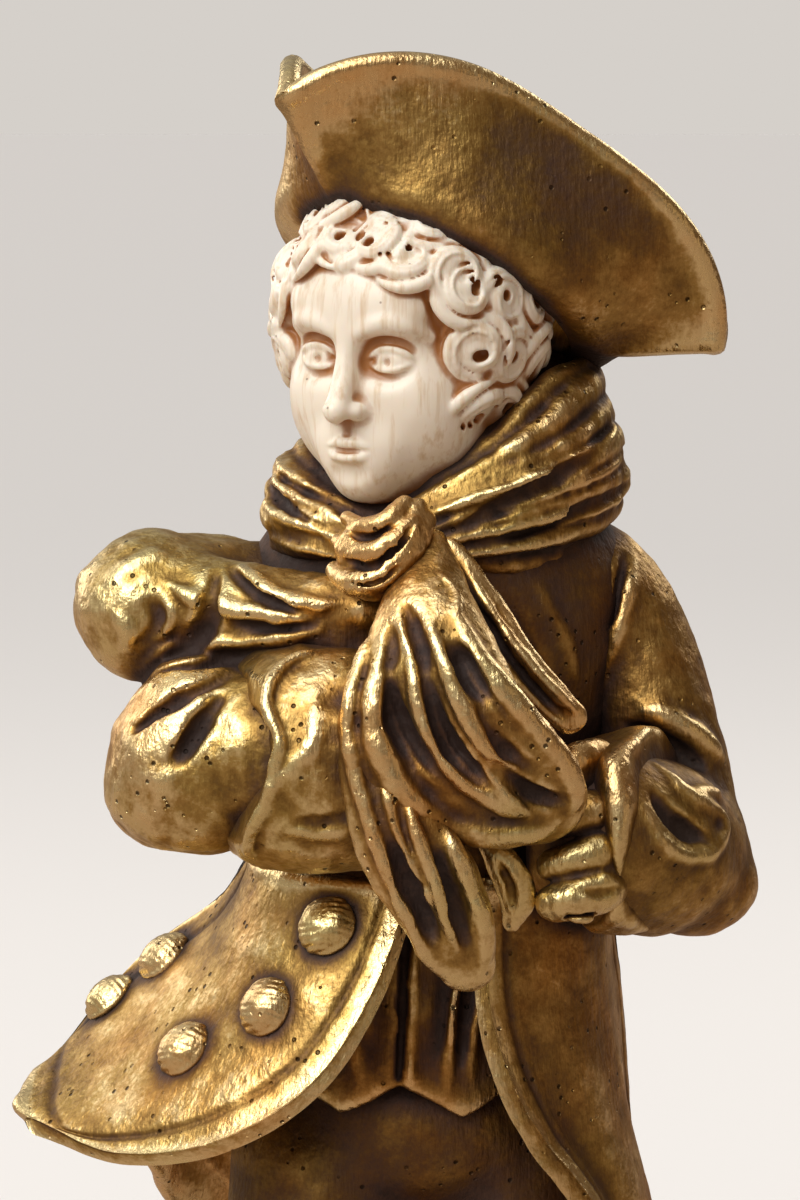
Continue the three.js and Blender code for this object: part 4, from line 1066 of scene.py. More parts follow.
def sculpt_breeches():
    clay = Clay((-22, -14, 60), (20, 14, 118), 0.4)
    clay.ball((-0.8, 0.4, 106), (13.0, 10.6, 9.6), k=1.5)
    for hip, knee in ((( -8.5, -1, 101), (-11.5, -4.8, 73)), ((6.5, 1, 101), (8, -1.3, 73))):
        hip, knee = np.array(hip, float), np.array(knee, float)
        thigh = hip + (knee - hip) * 0.45 + (0, -0.6, 0)
        clay.tube([hip, thigh, knee + (0, 0, 3)], [8.6, 7.9, 5.9], k=1.6)
        # Knee band with its buckle, gathered folds above it and pulls from the crotch.
        clay.tube([knee + (0, 0, -0.8), knee + (0, 0, -2.2)], [5.5, 5.5], k=0.4)
        for angle in range(0, 360, 30):
            a = math.radians(angle)
            out = np.array([math.cos(a), math.sin(a), 0])
            foot, top = knee + out * 8 + (0, 0, 0.4), knee + out * 9 + (0, 0, 9 + 3 * math.sin(2 * a))
            clay.fold([foot, (foot + top) / 2, top], 0.75, 0.4 if angle % 60 else -0.5, toward=-out, k=0.6)
        for drop in (4, 9, 14):
            inner = np.array([-1.0, -10, 100 - drop])
            outer = hip + (np.sign(hip[0]) * 6, -9, -drop * 1.1 - 2)
            clay.fold([inner, (inner + outer) / 2 + (0, 0, 1.4), outer], 1.0, 0.5, k=0.9)
            clay.fold([inner * (1, -1, 1), (inner + outer) / 2 * (1, -1, 1), outer * (1, -1, 1)], 1.0, 0.5,
                      toward=(0, -1, 0), k=0.9)
        clay.ball(knee + (np.sign(hip[0]) * 5.2, -1, -1.5), (0.7, 1.3, 1.2), k=0.2)
    clay.rough(4.0, 0.3, 27)
    return clay


LEGS = {
    "right": [(-11.5, -4.6, 76), (-11.5, -4.8, 71), (-11.6, -1.2, 56), (-12, 0.4, 44), (-12, 1.6, 33),
              (-12, 1.8, 29)],
    "left": [(8, -1.1, 76), (8, -1.3, 71), (9, 2.8, 56), (9.6, 4.2, 44), (10, 5.5, 33), (10, 5.7, 29)],
}
TOES = {"right": (-16.4, -12.6, 26.6), "left": (15, -8.2, 26.6)}
SOLE = 23.9


def sculpt_leg(side):
    line = LEGS[side]
    ankle, toe = np.array(line[-1], float), np.array(TOES[side], float)
    clay = Clay((line[1][0] - 12, -18, SOLE - 1), (line[1][0] + 12, 15, 78), 0.34)
    clay.tube(line, [4.5, 4.7, 5.2, 3.9, 2.9, 3.0], k=0.8)
    # Calf behind, shin in front.
    clay.ball(np.array(line[2]) + (0, 1.8, 1.5), (3.9, 3.6, 9.0), k=2.0)
    heel = ankle + (0, 1.6, -1.4)
    heel[2] = 27.0
    ball = heel + (toe - heel) * 0.66
    ahead = (toe - heel) / np.linalg.norm(toe - heel)
    across = np.array([-ahead[1], ahead[0], 0])
    clay.tube([heel, heel + (toe - heel) * 0.35 + (0, 0, 0.7), ball + (0, 0, -0.2), toe + (0, 0, -0.4)],
              [2.9, 3.2, 3.6, 2.2],
              flat=0.85, face=(0, 0, 1), k=1.0)
    clay.tube([ankle + (0, 0, 3), ankle + ahead * 3 + (0, 0, 0.6), heel + (toe - heel) * 0.45 + (0, 0, 2.2)],
              [2.9, 3.0, 2.4], k=1.2)
    # Sole, heel block, tongue and strap.
    clay.tube([heel + (0, 0, -2.3), ball + (0, 0, -2.3), toe + (0, 0, -2.1)], [2.9, 3.9, 2.5], flat=0.22,
              face=(0, 0, 1), k=0.3)
    clay.tube([heel + (0, 0, -3.2), heel + (0, 0, -1.6)], [2.6, 2.8], k=0.4)
    instep = heel + (toe - heel) * 0.46 + (0, 0, 4.1)
    clay.tube([instep - ahead * 1.6 + (0, 0, 0.9), instep, instep + ahead * 1.6 + (0, 0, -0.9)],
              [1.5, 1.7, 1.2], flat=0.35,
              face=(0, 0, 1), k=0.3)
    clay.tube([instep - across * 3.1 + (0, 0, -2.4), instep + (0, 0, 0.35),
               instep + across * 3.1 + (0, 0, -2.4)],
              [0.9, 0.9, 0.9], flat=0.5, face=(0, 0, 1), k=0.3)
    # Stocking wrinkles at the ankle.
    for number, height in enumerate((31.6, 33.2, 35.0)):
        swing = 0.6 * math.sin(number * 2.1)
        clay.fold([ankle + (-4, -6, height - ankle[2]), ankle + (0, -7, height - ankle[2] + swing),
                   ankle + (4, -6, height - ankle[2])], 0.45, 0.3, k=0.4)
    clay.trim(lambda x, y, z: SOLE - z, k=0.2)
    clay.rough(3.2, 0.2, 31)
    return clay


# ---- Head ----

HEAD_CENTRE = np.array([-1.6, -2.6, 172.6])
HEAD_TURN = turned(-32)
BROW, FACE_THIRD = 1.4, 7.0


def on_head(x, y, z):
    """A point of the head's own frame, which faces -Y, in the figure's frame."""
    return HEAD_TURN @ np.array([x, y, z], float) + HEAD_CENTRE


def curl(clay, centre, outward_dir, size, spin=1, start=0.0):
    """A snail curl: a lump with a strand hooked round a drilled eye, and fine lines along the strand."""
    outward_dir = np.array(outward_dir, float) / np.linalg.norm(outward_dir)
    side = np.cross(outward_dir, (0, 0, 1))
    side /= max(np.linalg.norm(side), 1e-6)
    up = np.cross(side, outward_dir)
    centre = np.array(centre, float)

    def coil(first, last, wide, narrow, low, high, count=22):
        t = np.linspace(0, 1, count)
        angle = start + spin * 2 * math.pi * (first + (last - first) * t)
        radius = size * (wide + (narrow - wide) * t)
        lift = size * (low + (high - low) * np.sin(math.pi * t * 0.8))
        return (centre + np.outer(radius * np.cos(angle), side) + np.outer(radius * np.sin(angle), up)
                + np.outer(lift, outward_dir))

    clay.ball(centre - outward_dir * size * 0.42, size * 0.88, k=0.5)
    clay.tube(coil(0, 1.15, 0.68, 0.30, -0.05, 0.30), np.linspace(0.32, 0.17, 22) * size, k=0.22, steps=26)
    eye = centre + side * size * 0.16 * math.cos(start * 3) + up * size * 0.16 * math.sin(start * 5)
    clay.ball(eye + outward_dir * size * 0.42, size * 0.17, k=0.12, carve=True)
    clay.ball(eye + outward_dir * size * 0.22, size * 0.15, k=0.1, carve=True)
    # A lock laid across the outside of the curl.
    clay.tube(coil(0.3, 0.95, 0.9, 0.86, -0.1, 0.12, 14), np.array([0.05, 0.19, 0.21, 0.06]) * size, k=0.12,
              steps=18)
    for share in (0.80, 0.58):
        clay.tube(coil(0.02, 0.95, share, share - 0.3, 0.24, 0.52, 16), [0.08, 0.2, 0.2, 0.08], k=0.12,
                  carve=True,
                  steps=20)


def sculpt_head():
    clay = Clay(HEAD_CENTRE - (16, 16, 17), HEAD_CENTRE + (16, 16, 14.5), 0.165)

    def ball(x, y, z, radii, k=0.8, carve=False):
        clay.ball(on_head(x, y, z), radii, HEAD_TURN, k=k, carve=carve)

    def rod(points, radii, k=0.4):
        clay.tube([on_head(*p) for p in points], radii, k=k)

    nose_base, chin = BROW - FACE_THIRD, BROW - 2 * FACE_THIRD
    mouth = nose_base - FACE_THIRD / 3
    ball(0, 1.0, 2.6, (9.2, 10.6, 10.4), k=1)
    ball(0, -2.0, -3.4, (8.0, 8.0, 9.0), k=3)
    ball(0, -4.8, chin + 4.2, (4.6, 4.2, 4.0), k=3)
    ball(0, -7.2, chin + 2.1, (2.3, 2.0, 1.9), k=2)
    for side in (-1, 1):
        ball(side * 4.6, -5.2, nose_base + 1.6, (3.2, 3.2, 3.6), k=2.4)
        ball(side * 5.6, -1.6, chin + 6.0, (2.4, 4.2, 3.4), k=2.6)
    rod([(0, 0, -6), (1.2, 1.4, -13)], [6.2, 6.0], k=2)

    def lay(points, radius, height, k=0.25, taper=(0.3, 0.3)):
        """A ridge or groove laid on the face along (x, z) points."""
        clay.fold([on_head(x, -9, z) for x, z in points], radius, height, toward=HEAD_TURN @ (0, 1, 0), k=k,
                  taper=taper)

    # Brow and eye hollows.
    ball(0, -8.2, BROW + 2.6, (6.4, 2.2, 3.6), k=2.4)
    share = np.linspace(-1, 1, 9)
    for side in (-1, 1):
        ex, ez = side * 3.4, BROW - 2.0
        ball(ex, -10.4, ez + 0.15, (2.8, 2.0, 1.75), k=1.6, carve=True)
        ball(ex, -7.35, ez - 0.05, (2.2, 2.0, 1.75), k=0.35)
        upper = [(ex + 2.2 * t, ez + 0.05 * t * side + 1.08 * (1 - t * t) ** 0.8) for t in share]
        lower = [(ex + 2.1 * t, ez + 0.05 * t * side - 0.72 * (1 - t * t) ** 0.8) for t in share]
        lay(upper, 0.36, 0.44, k=0.14, taper=(0.2, 0.2))
        lay(lower, 0.26, 0.26, k=0.22, taper=(0.2, 0.2))
        lay([(x, z + 0.85) for x, z in upper], 0.28, -0.24, k=0.35, taper=(0.4, 0.4))
        lay([(side * 1.3, BROW + 0.3), (side * 3.2, BROW + 1.2), (side * 5.2, BROW + 1.0),
             (side * 6.6, BROW)], 0.5, 0.2, k=0.9,
            taper=(0.3, 0.5))
        at, normal, _ = clay.drape([on_head(ex, -9, ez + 0.02)], HEAD_TURN @ (0, 1, 0))
        clay.ball(at[0] + normal[0] * 0.14, 0.5, k=0.12, carve=True)
    # Nose.
    rod([(0, -9.3, BROW + 0.6), (0, -10.0, BROW - 2), (0, -11.1, nose_base + 2.0),
         (0, -11.6, nose_base + 1.0)],
        [0.95, 0.85, 1.0, 1.12], k=1.1)
    for side in (-1, 1):
        ball(side * 1.2, -10.3, nose_base + 0.85, (0.78, 1.05, 0.74), k=0.7)
        ball(side * 0.6, -11.1, nose_base + 0.08, (0.3, 0.46, 0.26), k=0.2, carve=True)
    # Lips: a bow above, a fuller lip below, a line between and a dip under the nose.
    ball(0, -8.0, mouth, (3.4, 1.5, 2.2), k=1.8)
    lay([(0, nose_base - 0.2), (0, mouth + 1.5), (0, mouth + 0.95)], 0.42, -0.2, k=0.5)
    lay([(-2.3, mouth - 0.05), (-1.2, mouth + 0.42), (-0.5, mouth + 0.56), (0, mouth + 0.42),
         (0.5, mouth + 0.56),
         (1.2, mouth + 0.42), (2.3, mouth - 0.05)], 0.5, 0.42, k=0.3, taper=(0.35, 0.35))
    lay([(-1.9, mouth - 0.4), (-0.9, mouth - 0.82), (0, mouth - 0.92), (0.9, mouth - 0.82),
         (1.9, mouth - 0.4)], 0.62, 0.55, k=0.35,
        taper=(0.4, 0.4))
    lay([(-2.5, mouth - 0.02), (-1.2, mouth - 0.1), (-0.4, mouth - 0.14), (0, mouth - 0.2),
         (0.4, mouth - 0.14),
         (1.2, mouth - 0.1), (2.5, mouth - 0.02)], 0.2, -0.2, k=0.16, taper=(0.3, 0.3))
    lay([(-1.5, mouth - 1.95), (0, mouth - 2.1), (1.5, mouth - 1.95)], 0.9, -0.25, k=0.8)
    # Hair cap with its curls.
    ball(0, 2.6, 2.6, (10.6, 10.0, 10.6), k=0.8)
    rng = np.random.default_rng(4)
    rows = [
        # (first angle, last angle, height at the front, height at the ends, how many, size)
        (-50, 50, 9.4, 6.4, 6, 3.1),
        (-42, 42, 12.6, 10.4, 5, 2.8),
        (56, 98, 5.0, 3.8, 3, 3.2), (60, 102, 0.4, -0.6, 3, 3.3), (66, 106, -4.2, -5.0, 3, 3.1),
        (-54, -98, 3.6, 2.8, 3, 3.0), (-58, -102, -0.9, -1.6, 3, 3.1), (-64, -104, -5.2, -5.8, 3, 2.9),
        (124, 236, 4.2, 4.2, 5, 3.3), (120, 240, -0.7, -0.7, 5, 3.3), (124, 236, -5.4, -5.4, 5, 3.2),
    ]
    for number, (first, last, front, end, count, size) in enumerate(rows):
        for step in range(count):
            t = step / max(1, count - 1)
            angle = math.radians(first + (last - first) * t + rng.uniform(-3, 3))
            height = front + (end - front) * abs(2 * t - 1) if number < 2 else front + (end - front) * t
            level = math.sqrt(max(0.08, 1 - ((height - 2.4) / 11.6) ** 2))
            x, y = math.sin(angle) * 10.4 * level, -math.cos(angle) * 10.4 * level
            place = on_head(x, y + 0.8 * (1 - abs(math.sin(angle))), height + rng.uniform(-0.3, 0.3))
            away = HEAD_TURN @ np.array([x, y, 1.2 * (height - 2.4)]) + rng.uniform(-3.2, 3.2, 3)
            curl(clay, place, away, size * rng.uniform(0.92, 1.08), spin=1 if (step + number) % 2 else -1,
                 start=rng.uniform(0, 6.28))
    # Small drilled holes between the curls.
    for _ in range(70):
        angle, height = rng.uniform(-55, 305), rng.uniform(-6, 11)
        if abs((angle + 180) % 360 - 180) < 50 and height < 9.5:
            continue
        level = math.sqrt(max(0.05, 1 - ((height - 2.4) / 12.0) ** 2))
        a = math.radians(angle)
        place = on_head(math.sin(a) * 11.6 * level, -math.cos(a) * 11.6 * level + 0.8, height)
        clay.ball(place, rng.uniform(0.4, 0.7), k=0.2, carve=True)
    clay.rough(2.0, 0.06, 41)
    return clay


# ---- Hat ----

HAT_CENTRE = np.array([0.6, 1.6, 176.8])
HAT_FRAME = turned(-45, -35)
BRIM_START, BRIM_WIDTH = 12.6, 12.0
CORNERS = np.array([-125.0, 0.0, 125.0, 235.0])


def panel_share(angle):
    """How far a brim angle is into its turned-up panel: 0 at a corner, 1 in the middle."""
    angle = (angle + 125) % 360 - 125
    i = np.clip(np.searchsorted(CORNERS, angle, side="right") - 1, 0, 2)
    t = np.clip((angle - CORNERS[i]) / (CORNERS[i + 1] - CORNERS[i]), 0, 1)
    return np.sin(np.pi * t) ** 0.62


def hat_surface(u, v):
    """Middle of the hat's shell. u runs round it and v from the crown's top to the brim's edge."""
    angle = u * 360 - 125
    a = np.radians(angle)
    out = v * (BRIM_START + BRIM_WIDTH)
    inner = np.clip(out / BRIM_START, 0, 1)
    dome = 11.0 * np.sqrt(np.clip(1 - inner**2.6, 0, 1))
    share = panel_share(angle)
    rise = np.radians(16 + 72 * share)
    reach = np.maximum(out - BRIM_START, 0) * (0.98 + 0.22 * share)
    radius, height = np.minimum(out, BRIM_START), dome
    steps = 10
    for i in range(steps):
        bend = np.clip(((i + 0.5) / steps) * reach / 4, 0, 1)
        slope = rise * bend**2 * (3 - 2 * bend)
        radius = radius + np.cos(slope) * reach / steps
        height = height + np.sin(slope) * reach / steps
    height = height + 0.5 * np.sin(3 * a + 0.6) * v**4
    x, y = np.sin(a) * radius, -np.cos(a) * radius
    return HAT_CENTRE + np.stack([x, y, height], -1) @ HAT_FRAME.T


# ---- Coat skirts ----

SKIRT_LINES = {
    "right_front": [(-1.2, -12.6, 127.8), (-4.4, -16.6, 119.6), (-9.5, -18.4, 112), (-17, -17.4, 107),
                    (-26, -12.5, 104.6),
                    (-34, -5, 105.6)],
    "right_side": [(-14.8, 0.4, 127.8), (-17.5, 3, 123.6), (-24.5, 6.5, 117.6), (-32.5, 4, 108.6)],
    "back_right": [(-0.8, 11.8, 127.8), (-2.5, 17, 115), (-7, 21.5, 98), (-12, 24, 82)],
    "back_left": [(-0.2, 11.8, 127.8), (2, 16.5, 115), (3.5, 19.5, 98), (4.5, 21, 79)],
    "left_side": [(14.2, 0.5, 127.8), (16, 3, 115), (17.4, 5, 98), (19.6, 6, 79)],
    "left_front": [(4.4, -12.2, 127.8), (4.6, -14.4, 117), (8, -15.2, 108), (14.5, -13, 98), (20, -7, 80)],
}


def along(name, t):
    """Points of a skirt line at shares t of its way down."""
    table = smooth_line(SKIRT_LINES[name], 81)
    t = np.clip(t, 0, 1)
    return np.stack([np.interp(t, np.linspace(0, 1, 81), table[:, i]) for i in range(3)], -1)


def panel(first, last, bulge, waves, flutter=0.6, seed=0):
    """A skirt panel's surface between two lines: bulging, with folds that deepen towards the hem."""
    def surface(u, v):
        a, b = along(first, v), along(last, v)
        u0 = np.clip(u, 0, 1)
        at = a + (b - a) * u[:, None]
        away = at * (1, 1, 0)
        away /= np.maximum(np.linalg.norm(away, axis=1, keepdims=True), 1e-6)
        swell = bulge * np.sin(np.pi * u0) * (1 - 0.6 * np.clip(v, 0, 1) ** 2)
        ripple = waves * v * np.sin(2 * np.pi * (1.6 * u0 + 0.12 * np.sin(5 * v + seed)) + seed)
        ripple = ripple + flutter * v * np.sin(2 * np.pi * (3.4 * u0 + 0.2 * v) + 2 * seed) * 0.5
        edge = np.clip(np.minimum(u0, 1 - u0) * 6, 0, 1)
        return at + away * (swell + ripple * edge)[:, None]
    return surface


def hem_marks(seed):
    """Small dents of hand chasing over a sheet, with a stitched line inside the edge."""
    def texture(at, u, v):
        marks = 0.16 * noise(at, 3.0, 3, seed)
        edge = np.minimum(np.minimum(u, 1 - u) * 20, (1 - v) * 24)
        return marks - 0.22 * np.exp(-((edge - 2.4) / 0.35) ** 2)
    return texture


PANELS = {
    "skirt_right_front": ("right_front", "right_side", 4.2, 0.3, 0.1),
    "skirt_right_back": ("right_side", "back_right", 4.5, 1.5, 1.0),
    "skirt_left_back": ("back_left", "left_side", 4.0, 1.3, 1.0),
    "skirt_left_front": ("left_side", "left_front", 3.6, 0.7, 0.5),
}


def make_button(number):
    """A domed button with a raised rim and fine strands across it, set where its CAD node is."""
    name = f"coat_button_{number}"
    low, high = span(name)
    centre = (low + high) / 2
    u, v = np.meshgrid(np.linspace(0.02, 0.98, 60), np.linspace(0.02, 0.98, 60))
    surface = PANEL_SURFACES["skirt_right_front"]
    on = surface(u.ravel(), v.ravel())
    best = np.argmin(np.linalg.norm(on - centre, axis=1))
    e = 1e-2
    u0, v0 = u.ravel()[best : best + 1], v.ravel()[best : best + 1]
    across, down = surface(u0 + e, v0) - surface(u0 - e, v0), surface(u0, v0 + e) - surface(u0, v0 - e)
    normal = np.cross(across, down)[0]
    normal /= np.linalg.norm(normal)
    if normal @ (centre * (1, 1, 0)) < 0:
        normal = -normal
    base = on[best] + normal * 0.7
    sideways = np.cross(normal, (0, 0, 1))
    sideways /= np.linalg.norm(sideways)
    turn = np.stack([sideways, np.cross(normal, sideways), normal], 1)
    clay = Clay(base - 3.6, base + 3.6, 0.13)
    radius = 2.3
    clay.ball(base, (radius, radius, 1.7), turn, k=0.2)
    ring = [base + turn @ np.array([radius * math.cos(a), radius * math.sin(a), 0.1])
            for a in np.linspace(0, 2 * math.pi, 25)]
    clay.tube(ring, 0.3, k=0.2, steps=40)
    for strand in range(-4, 5):
        y = 0.5 * strand
        reach = 0.92 * math.sqrt(radius**2 - y * y)
        xs = np.linspace(-reach, reach, 9)
        heights = 1.7 * np.sqrt(np.maximum(0, 1 - (xs**2 + y * y) / radius**2))
        line = base + np.stack([xs, y + 0.25 * np.sin(xs * 1.1), heights - 0.24], 1) @ turn.T
        clay.tube(line, 0.27, k=0.2, steps=16)
    clay.rough(0.9, 0.08, 40 + number)
    return cast(name, clay, [name], relax=1)


# ---- Base ----


def lathe(name, profile, sides, nodes, material, push=None):
    """A piece turned about Z from (radius, height) points that start and end on the axis."""
    profile = np.array(profile, float)
    around = np.linspace(0, 2 * math.pi, sides, endpoint=False)
    r, a = np.meshgrid(profile[:, 0], around)
    z = np.broadcast_to(profile[:, 1], r.shape)
    points = np.stack([r * np.cos(a), r * np.sin(a), z], -1).reshape(-1, 3)
    if push is not None:
        points = push(points)
    n = len(profile)
    i, j = np.meshgrid(np.arange(sides), np.arange(n - 1), indexing="ij")
    i, j = i.ravel(), j.ravel()
    k = (i + 1) % sides
    quads = np.stack([i * n + j, k * n + j, k * n + j + 1, i * n + j + 1], 1)
    thing = build(name, points, outward(points, quads), nodes, material)
    merge = thing.modifiers.new("weld", "WELD")
    merge.merge_threshold = 1e-6
    return thing


def arc(centre, radius, start, stop, count):
    """Profile points of a moulding's curve, angles in degrees."""
    a = np.radians(np.linspace(start, stop, count))
    return [(centre[0] + radius * math.cos(t), centre[1] + radius * math.sin(t)) for t in a]


def make_plinth():
    low, high = span("plinth")
    radius, bottom, top = high[0], low[2], high[2]
    profile = [(0, bottom), (radius - 1.2, bottom), *arc((radius - 0.8, bottom + 0.8), 0.8, -90, 0, 8)]
    profile += [*arc((radius - 1.0, bottom + 5.0), 1.0, 0, 90, 10), (radius - 1.6, bottom + 6.0),
                (radius - 1.6, bottom + 6.5)]
    profile += [*arc((radius - 1.7, bottom + 10.2), 3.7, 270, 180, 18), (radius - 5.4, bottom + 12.6)]
    profile += [(radius - 4.9, bottom + 12.9), (radius - 4.9, bottom + 13.4)]
    profile += [*arc((radius - 5.0, bottom + 16.2), 2.6, -90, 90, 24), (radius - 5.6, top), (0, top)]
    lathe("plinth_body", profile, 160, ["plinth"], MARBLE)


def make_felt_pad():
    low, high = span("felt_pad")
    radius, top = high[0], high[2]
    profile = [(0, 0), (radius - 0.3, 0), (radius, 0.25), (radius, top - 0.1), (radius - 0.2, top), (0, top)]
    lathe("felt_disc", profile, 120, ["felt_pad"], FELT)


def sculpt_ground():
    low, high = span("ground")
    clay = Clay((-28, -28, low[2] - 0.6), (28, 28, high[2] + 2.4), 0.42)
    cut, (x, y, z) = clay.window(clay.low, clay.low + 60)
    a = np.arctan2(y, x)
    rim = 24.4 + 0.6 * np.sin(3 * a + 1) + 0.35 * np.sin(7 * a) - 0.25 * np.maximum(z - low[2], 0)
    side = np.sqrt(x * x + y * y) - rim
    flat = np.stack(np.broadcast_arrays(x, y, 0 * z), -1)[:, :, 0, :].reshape(-1, 3)
    lumps = noise(flat, 7.0, 3, 51).reshape(len(x), -1)[:, :, None]
    top = z - (high[2] - 0.25 + 0.35 * lumps)
    shape = np.maximum(np.maximum(side, top), low[2] - z)
    body = soft_min(shape * 0 + FAR, shape, 0.1)
    clay.d[cut] = -soft_min(-body, -np.maximum(side, top), 0.8).astype(np.float32)
    # Cobbles set in the ground, worn flat.
    rng = np.random.default_rng(12)
    for ring, count in ((5, 5), (10.5, 10), (16, 15), (21, 20)):
        for step in range(count):
            t = 2 * math.pi * (step + 0.5 * (ring % 2)) / count + rng.uniform(-0.08, 0.08)
            place = (ring * math.cos(t), ring * math.sin(t), high[2] - 0.75)
            clay.ball(place, (2.6 * rng.uniform(0.85, 1.1), 2.3 * rng.uniform(0.85, 1.1), 1.0),
                      turned(math.degrees(t)), k=0.25)
    return clay


# ---- Making everything ----

cast("scarf_end_front", sculpt_tail_front(), ["scarf_tail_front"], shine=-0.05)
cast("scarf_end_lower", sculpt_tail_lower(), ["scarf_tail_lower"], shine=-0.05)
cast("scarf_end_side", sculpt_tail_side(), ["scarf_tail_side"], shine=-0.08)
cast("muffler", sculpt_wrap(), ["scarf_wrap"], shine=-0.07)
cast("muffler_knot", sculpt_knot(), ["scarf_knot"])
cast("sleeve_right", sculpt_right_sleeve(), ["right_sleeve"], shine=0.04)
cast("cuff_right", sculpt_right_cuff(), ["right_cuff"], shine=0.06)
cast("sleeve_left", sculpt_left_sleeve(), ["left_sleeve"])
cast("cuff_left", sculpt_left_cuff(), ["left_cuff"])
cast("hand_left", sculpt_left_hand(), ["left_hand"])
cast("hand_right", sculpt_right_hand(), ["right_hand"])
cast("bodice", sculpt_bodice(), ["coat_bodice"], shine=-0.12)
cast("waistcoat_front", sculpt_waistcoat(), ["waistcoat"], shine=-0.10)
cast("breeches_cast", sculpt_breeches(), ["breeches"], shine=-0.06)
for side in ("right", "left"):
    cast(f"leg_{side}", sculpt_leg(side), [f"{side}_leg"])
cast("head_carving", sculpt_head(), ["head"], IVORY, relax=1)
cast("cast_ground", sculpt_ground(), ["ground"])

PANEL_SURFACES = {}
for number, (name, (first, last, bulge, waves, flutter)) in enumerate(PANELS.items()):
    PANEL_SURFACES[name] = panel(first, last, bulge, waves, flutter, number)
    shell(f"{name}_cloth", PANEL_SURFACES[name], 110, 120, 1.5, [name], texture=hem_marks(60 + number))
for number in range(1, 6):
    make_button(number)

shell("tricorne", hat_surface, 300, 110, 1.25, ["hat"], closed=True, lip=0.45, shine=-0.14,
      texture=lambda at, u, v: 0.16 * noise(at, 3.4, 3, 71) + 0.22 * noise(at, 8.0, 1, 72))
make_plinth()
make_felt_pad()

# ---- Wear and painted shade: bright on the high places, dark where a point is buried; patina in a piece's own hollows, painted shade where pieces crowd each other and over the figure's left side ----

near_map, wide_map = blurred(filled, 2), blurred(filled, 4)


def vertex_normals(thing):
    out = np.zeros(len(thing.data.vertices) * 3, np.float32)
    thing.data.vertices.foreach_get("normal", out)
    return out.reshape(-1, 3)


for thing, points, clay, shine in made:
    normals = vertex_normals(thing)
    # How far a point is buried among all pieces: partly patina, partly painted shade where neighbouring
    # pieces would cast contact shadows.
    buried = between(wide_map, (points + normals * 0.7 - map_low) / MAP_CELL)
    if clay is not None:
        inside = np.clip(0.5 - clay.d / clay.cell, 0, 1)
        tight = clay.sample(points + normals * 0.25, blurred(inside, 2))
        loose = clay.sample(points + normals * 0.4, blurred(inside, 5))
        crease = 0.6 * tight + 0.4 * loose
    else:
        crease = between(near_map, (points + normals * 0.5 - map_low) / MAP_CELL)
        crease = 0.36 + crease - np.median(crease)
    # Painted shade: the surface grows darker towards the figure's left side (+X), the side turned from the
    # light.
    shaded_side = np.clip((points[:, 0] - 2) / 28, 0, 1)
    wear_and_shade = 0.56 + shine + 3.0 * (0.36 - crease) + 1.6 * (0.33 - buried) - 0.18 * shaded_side
    attribute = thing.data.attributes.new("wear_and_shade", "FLOAT", "POINT")
    attribute.data.foreach_set("value", np.clip(wear_and_shade, 0, 1).astype(np.float32))

# ---- Floor, light and camera ----


def floor():
    bpy.ops.mesh.primitive_plane_add(size=8, location=(0, 0, 0))
    plane = bpy.context.object
    plane.name = "floor"
    material, tree, body = shader("floor")
    seen = node(tree, "ShaderNodeLightPath").outputs["Is Camera Ray"]
    tree.links.new(mixed(tree, seen, (0.36, 0.27, 0.21), (0.79, 0.78, 0.77)), body.inputs["Base Color"])
    body.inputs["Roughness"].default_value = 0.7
    plane.data.materials.append(material)


def lamp(name, place, target, size, power, colour):
    """A square lamp that shines on a place."""
    light = bpy.data.lights.new(name, "AREA")
    light.shape, light.size, light.size_y = "RECTANGLE", size, size
    light.energy, light.color = power, colour
    thing = bpy.data.objects.new(name, light)
    bpy.context.collection.objects.link(thing)
    thing.location = place
    thing.rotation_euler = (Vector(target) - Vector(place)).to_track_quat("-Z", "Y").to_euler()
    thing.visible_camera = False


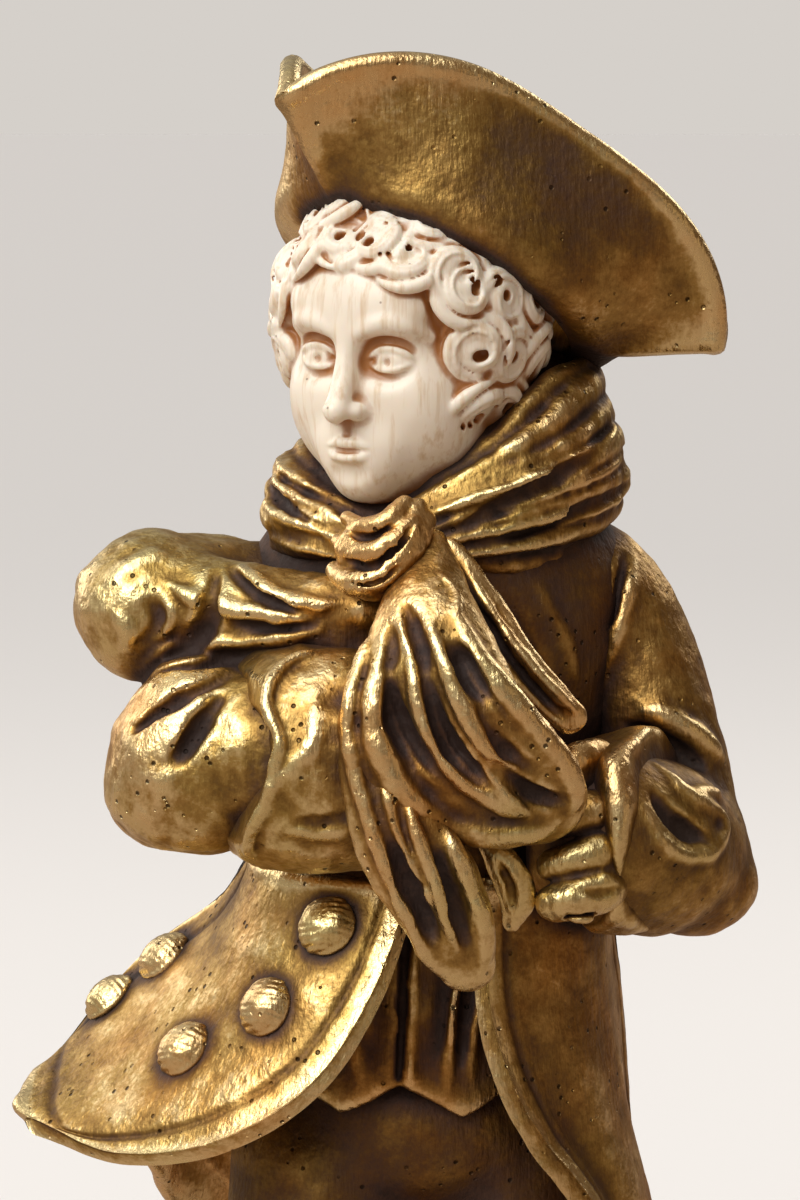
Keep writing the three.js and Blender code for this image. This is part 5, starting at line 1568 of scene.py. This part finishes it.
def world():
    sky = bpy.data.worlds.new("studio")
    bpy.context.scene.world = sky
    sky.use_nodes = True
    tree = sky.node_tree
    background = tree.nodes["Background"]
    direction = node(tree, "ShaderNodeTexCoord").outputs["Generated"]
    split = node(tree, "ShaderNodeSeparateXYZ", {0: direction})
    up = maths(tree, "MULTIPLY_ADD", split.outputs[2], 0.5, 0.5)
    glow = ramp(tree, up,
                [(0.0, (0.09, 0.055, 0.04)), (0.46, (0.16, 0.115, 0.09)), (0.56, (0.30, 0.28, 0.26)),
                 (1.0, (0.50, 0.50, 0.50))])
    across = maths(tree, "MULTIPLY_ADD", split.outputs[0], 0.5, 0.5)
    side = ramp(tree, across, [(0.15, (1.45, 1.41, 1.36)), (0.5, (0.92, 0.86, 0.80)),
                               (0.8, (0.42, 0.30, 0.20)), (1.0, (0.34, 0.22, 0.13))])
    glow = mixed(tree, 1.0, glow, side, "MULTIPLY")
    seen = node(tree, "ShaderNodeLightPath").outputs["Is Camera Ray"]
    tree.links.new(mixed(tree, seen, glow, (0.665, 0.630, 0.591)), background.inputs[0])
    background.inputs[1].default_value = 1.0


floor()
CHEST = (0, 0, 0.15)
sun = bpy.data.objects.new("daylight", bpy.data.lights.new("daylight", "SUN"))
bpy.context.collection.objects.link(sun)
sun.data.energy, sun.data.angle = 1.95, math.radians(60)
sun.rotation_euler = (math.radians(28), math.radians(-26), 0)
lamp("key", (-0.55, -0.50, 0.62), CHEST, 0.32, 1.8, (1.0, 0.97, 0.92))
lamp("fill", (0.70, -0.45, 0.30), CHEST, 0.45, 0.22, (1.0, 0.76, 0.52))
lamp("rim", (0.45, 0.60, 0.50), CHEST, 0.35, 1.2, (1.0, 0.97, 0.93))
lamp("back", (-0.55, 0.50, 0.35), CHEST, 0.4, 1.2, (1.0, 0.95, 0.9))
world()

camera = bpy.data.objects.new("camera", bpy.data.cameras.new("camera"))
bpy.context.collection.objects.link(camera)
AIM = Vector((-2.5, -11, 152)) * MM
DISTANCE, ELEVATION = 0.42, math.radians(8)
SENSOR, SEEN_HEIGHT = 36, 0.1
camera.location = AIM + Vector((0, -math.cos(ELEVATION), math.sin(ELEVATION))) * DISTANCE
camera.rotation_euler = (AIM - camera.location).to_track_quat("-Z", "Y").to_euler()
camera.data.sensor_width = SENSOR
camera.data.lens = SENSOR * DISTANCE / SEEN_HEIGHT
camera.data.clip_start, camera.data.clip_end = 0.01, 50
bpy.context.scene.camera = camera
bpy.context.scene.view_settings.view_transform = "Standard"
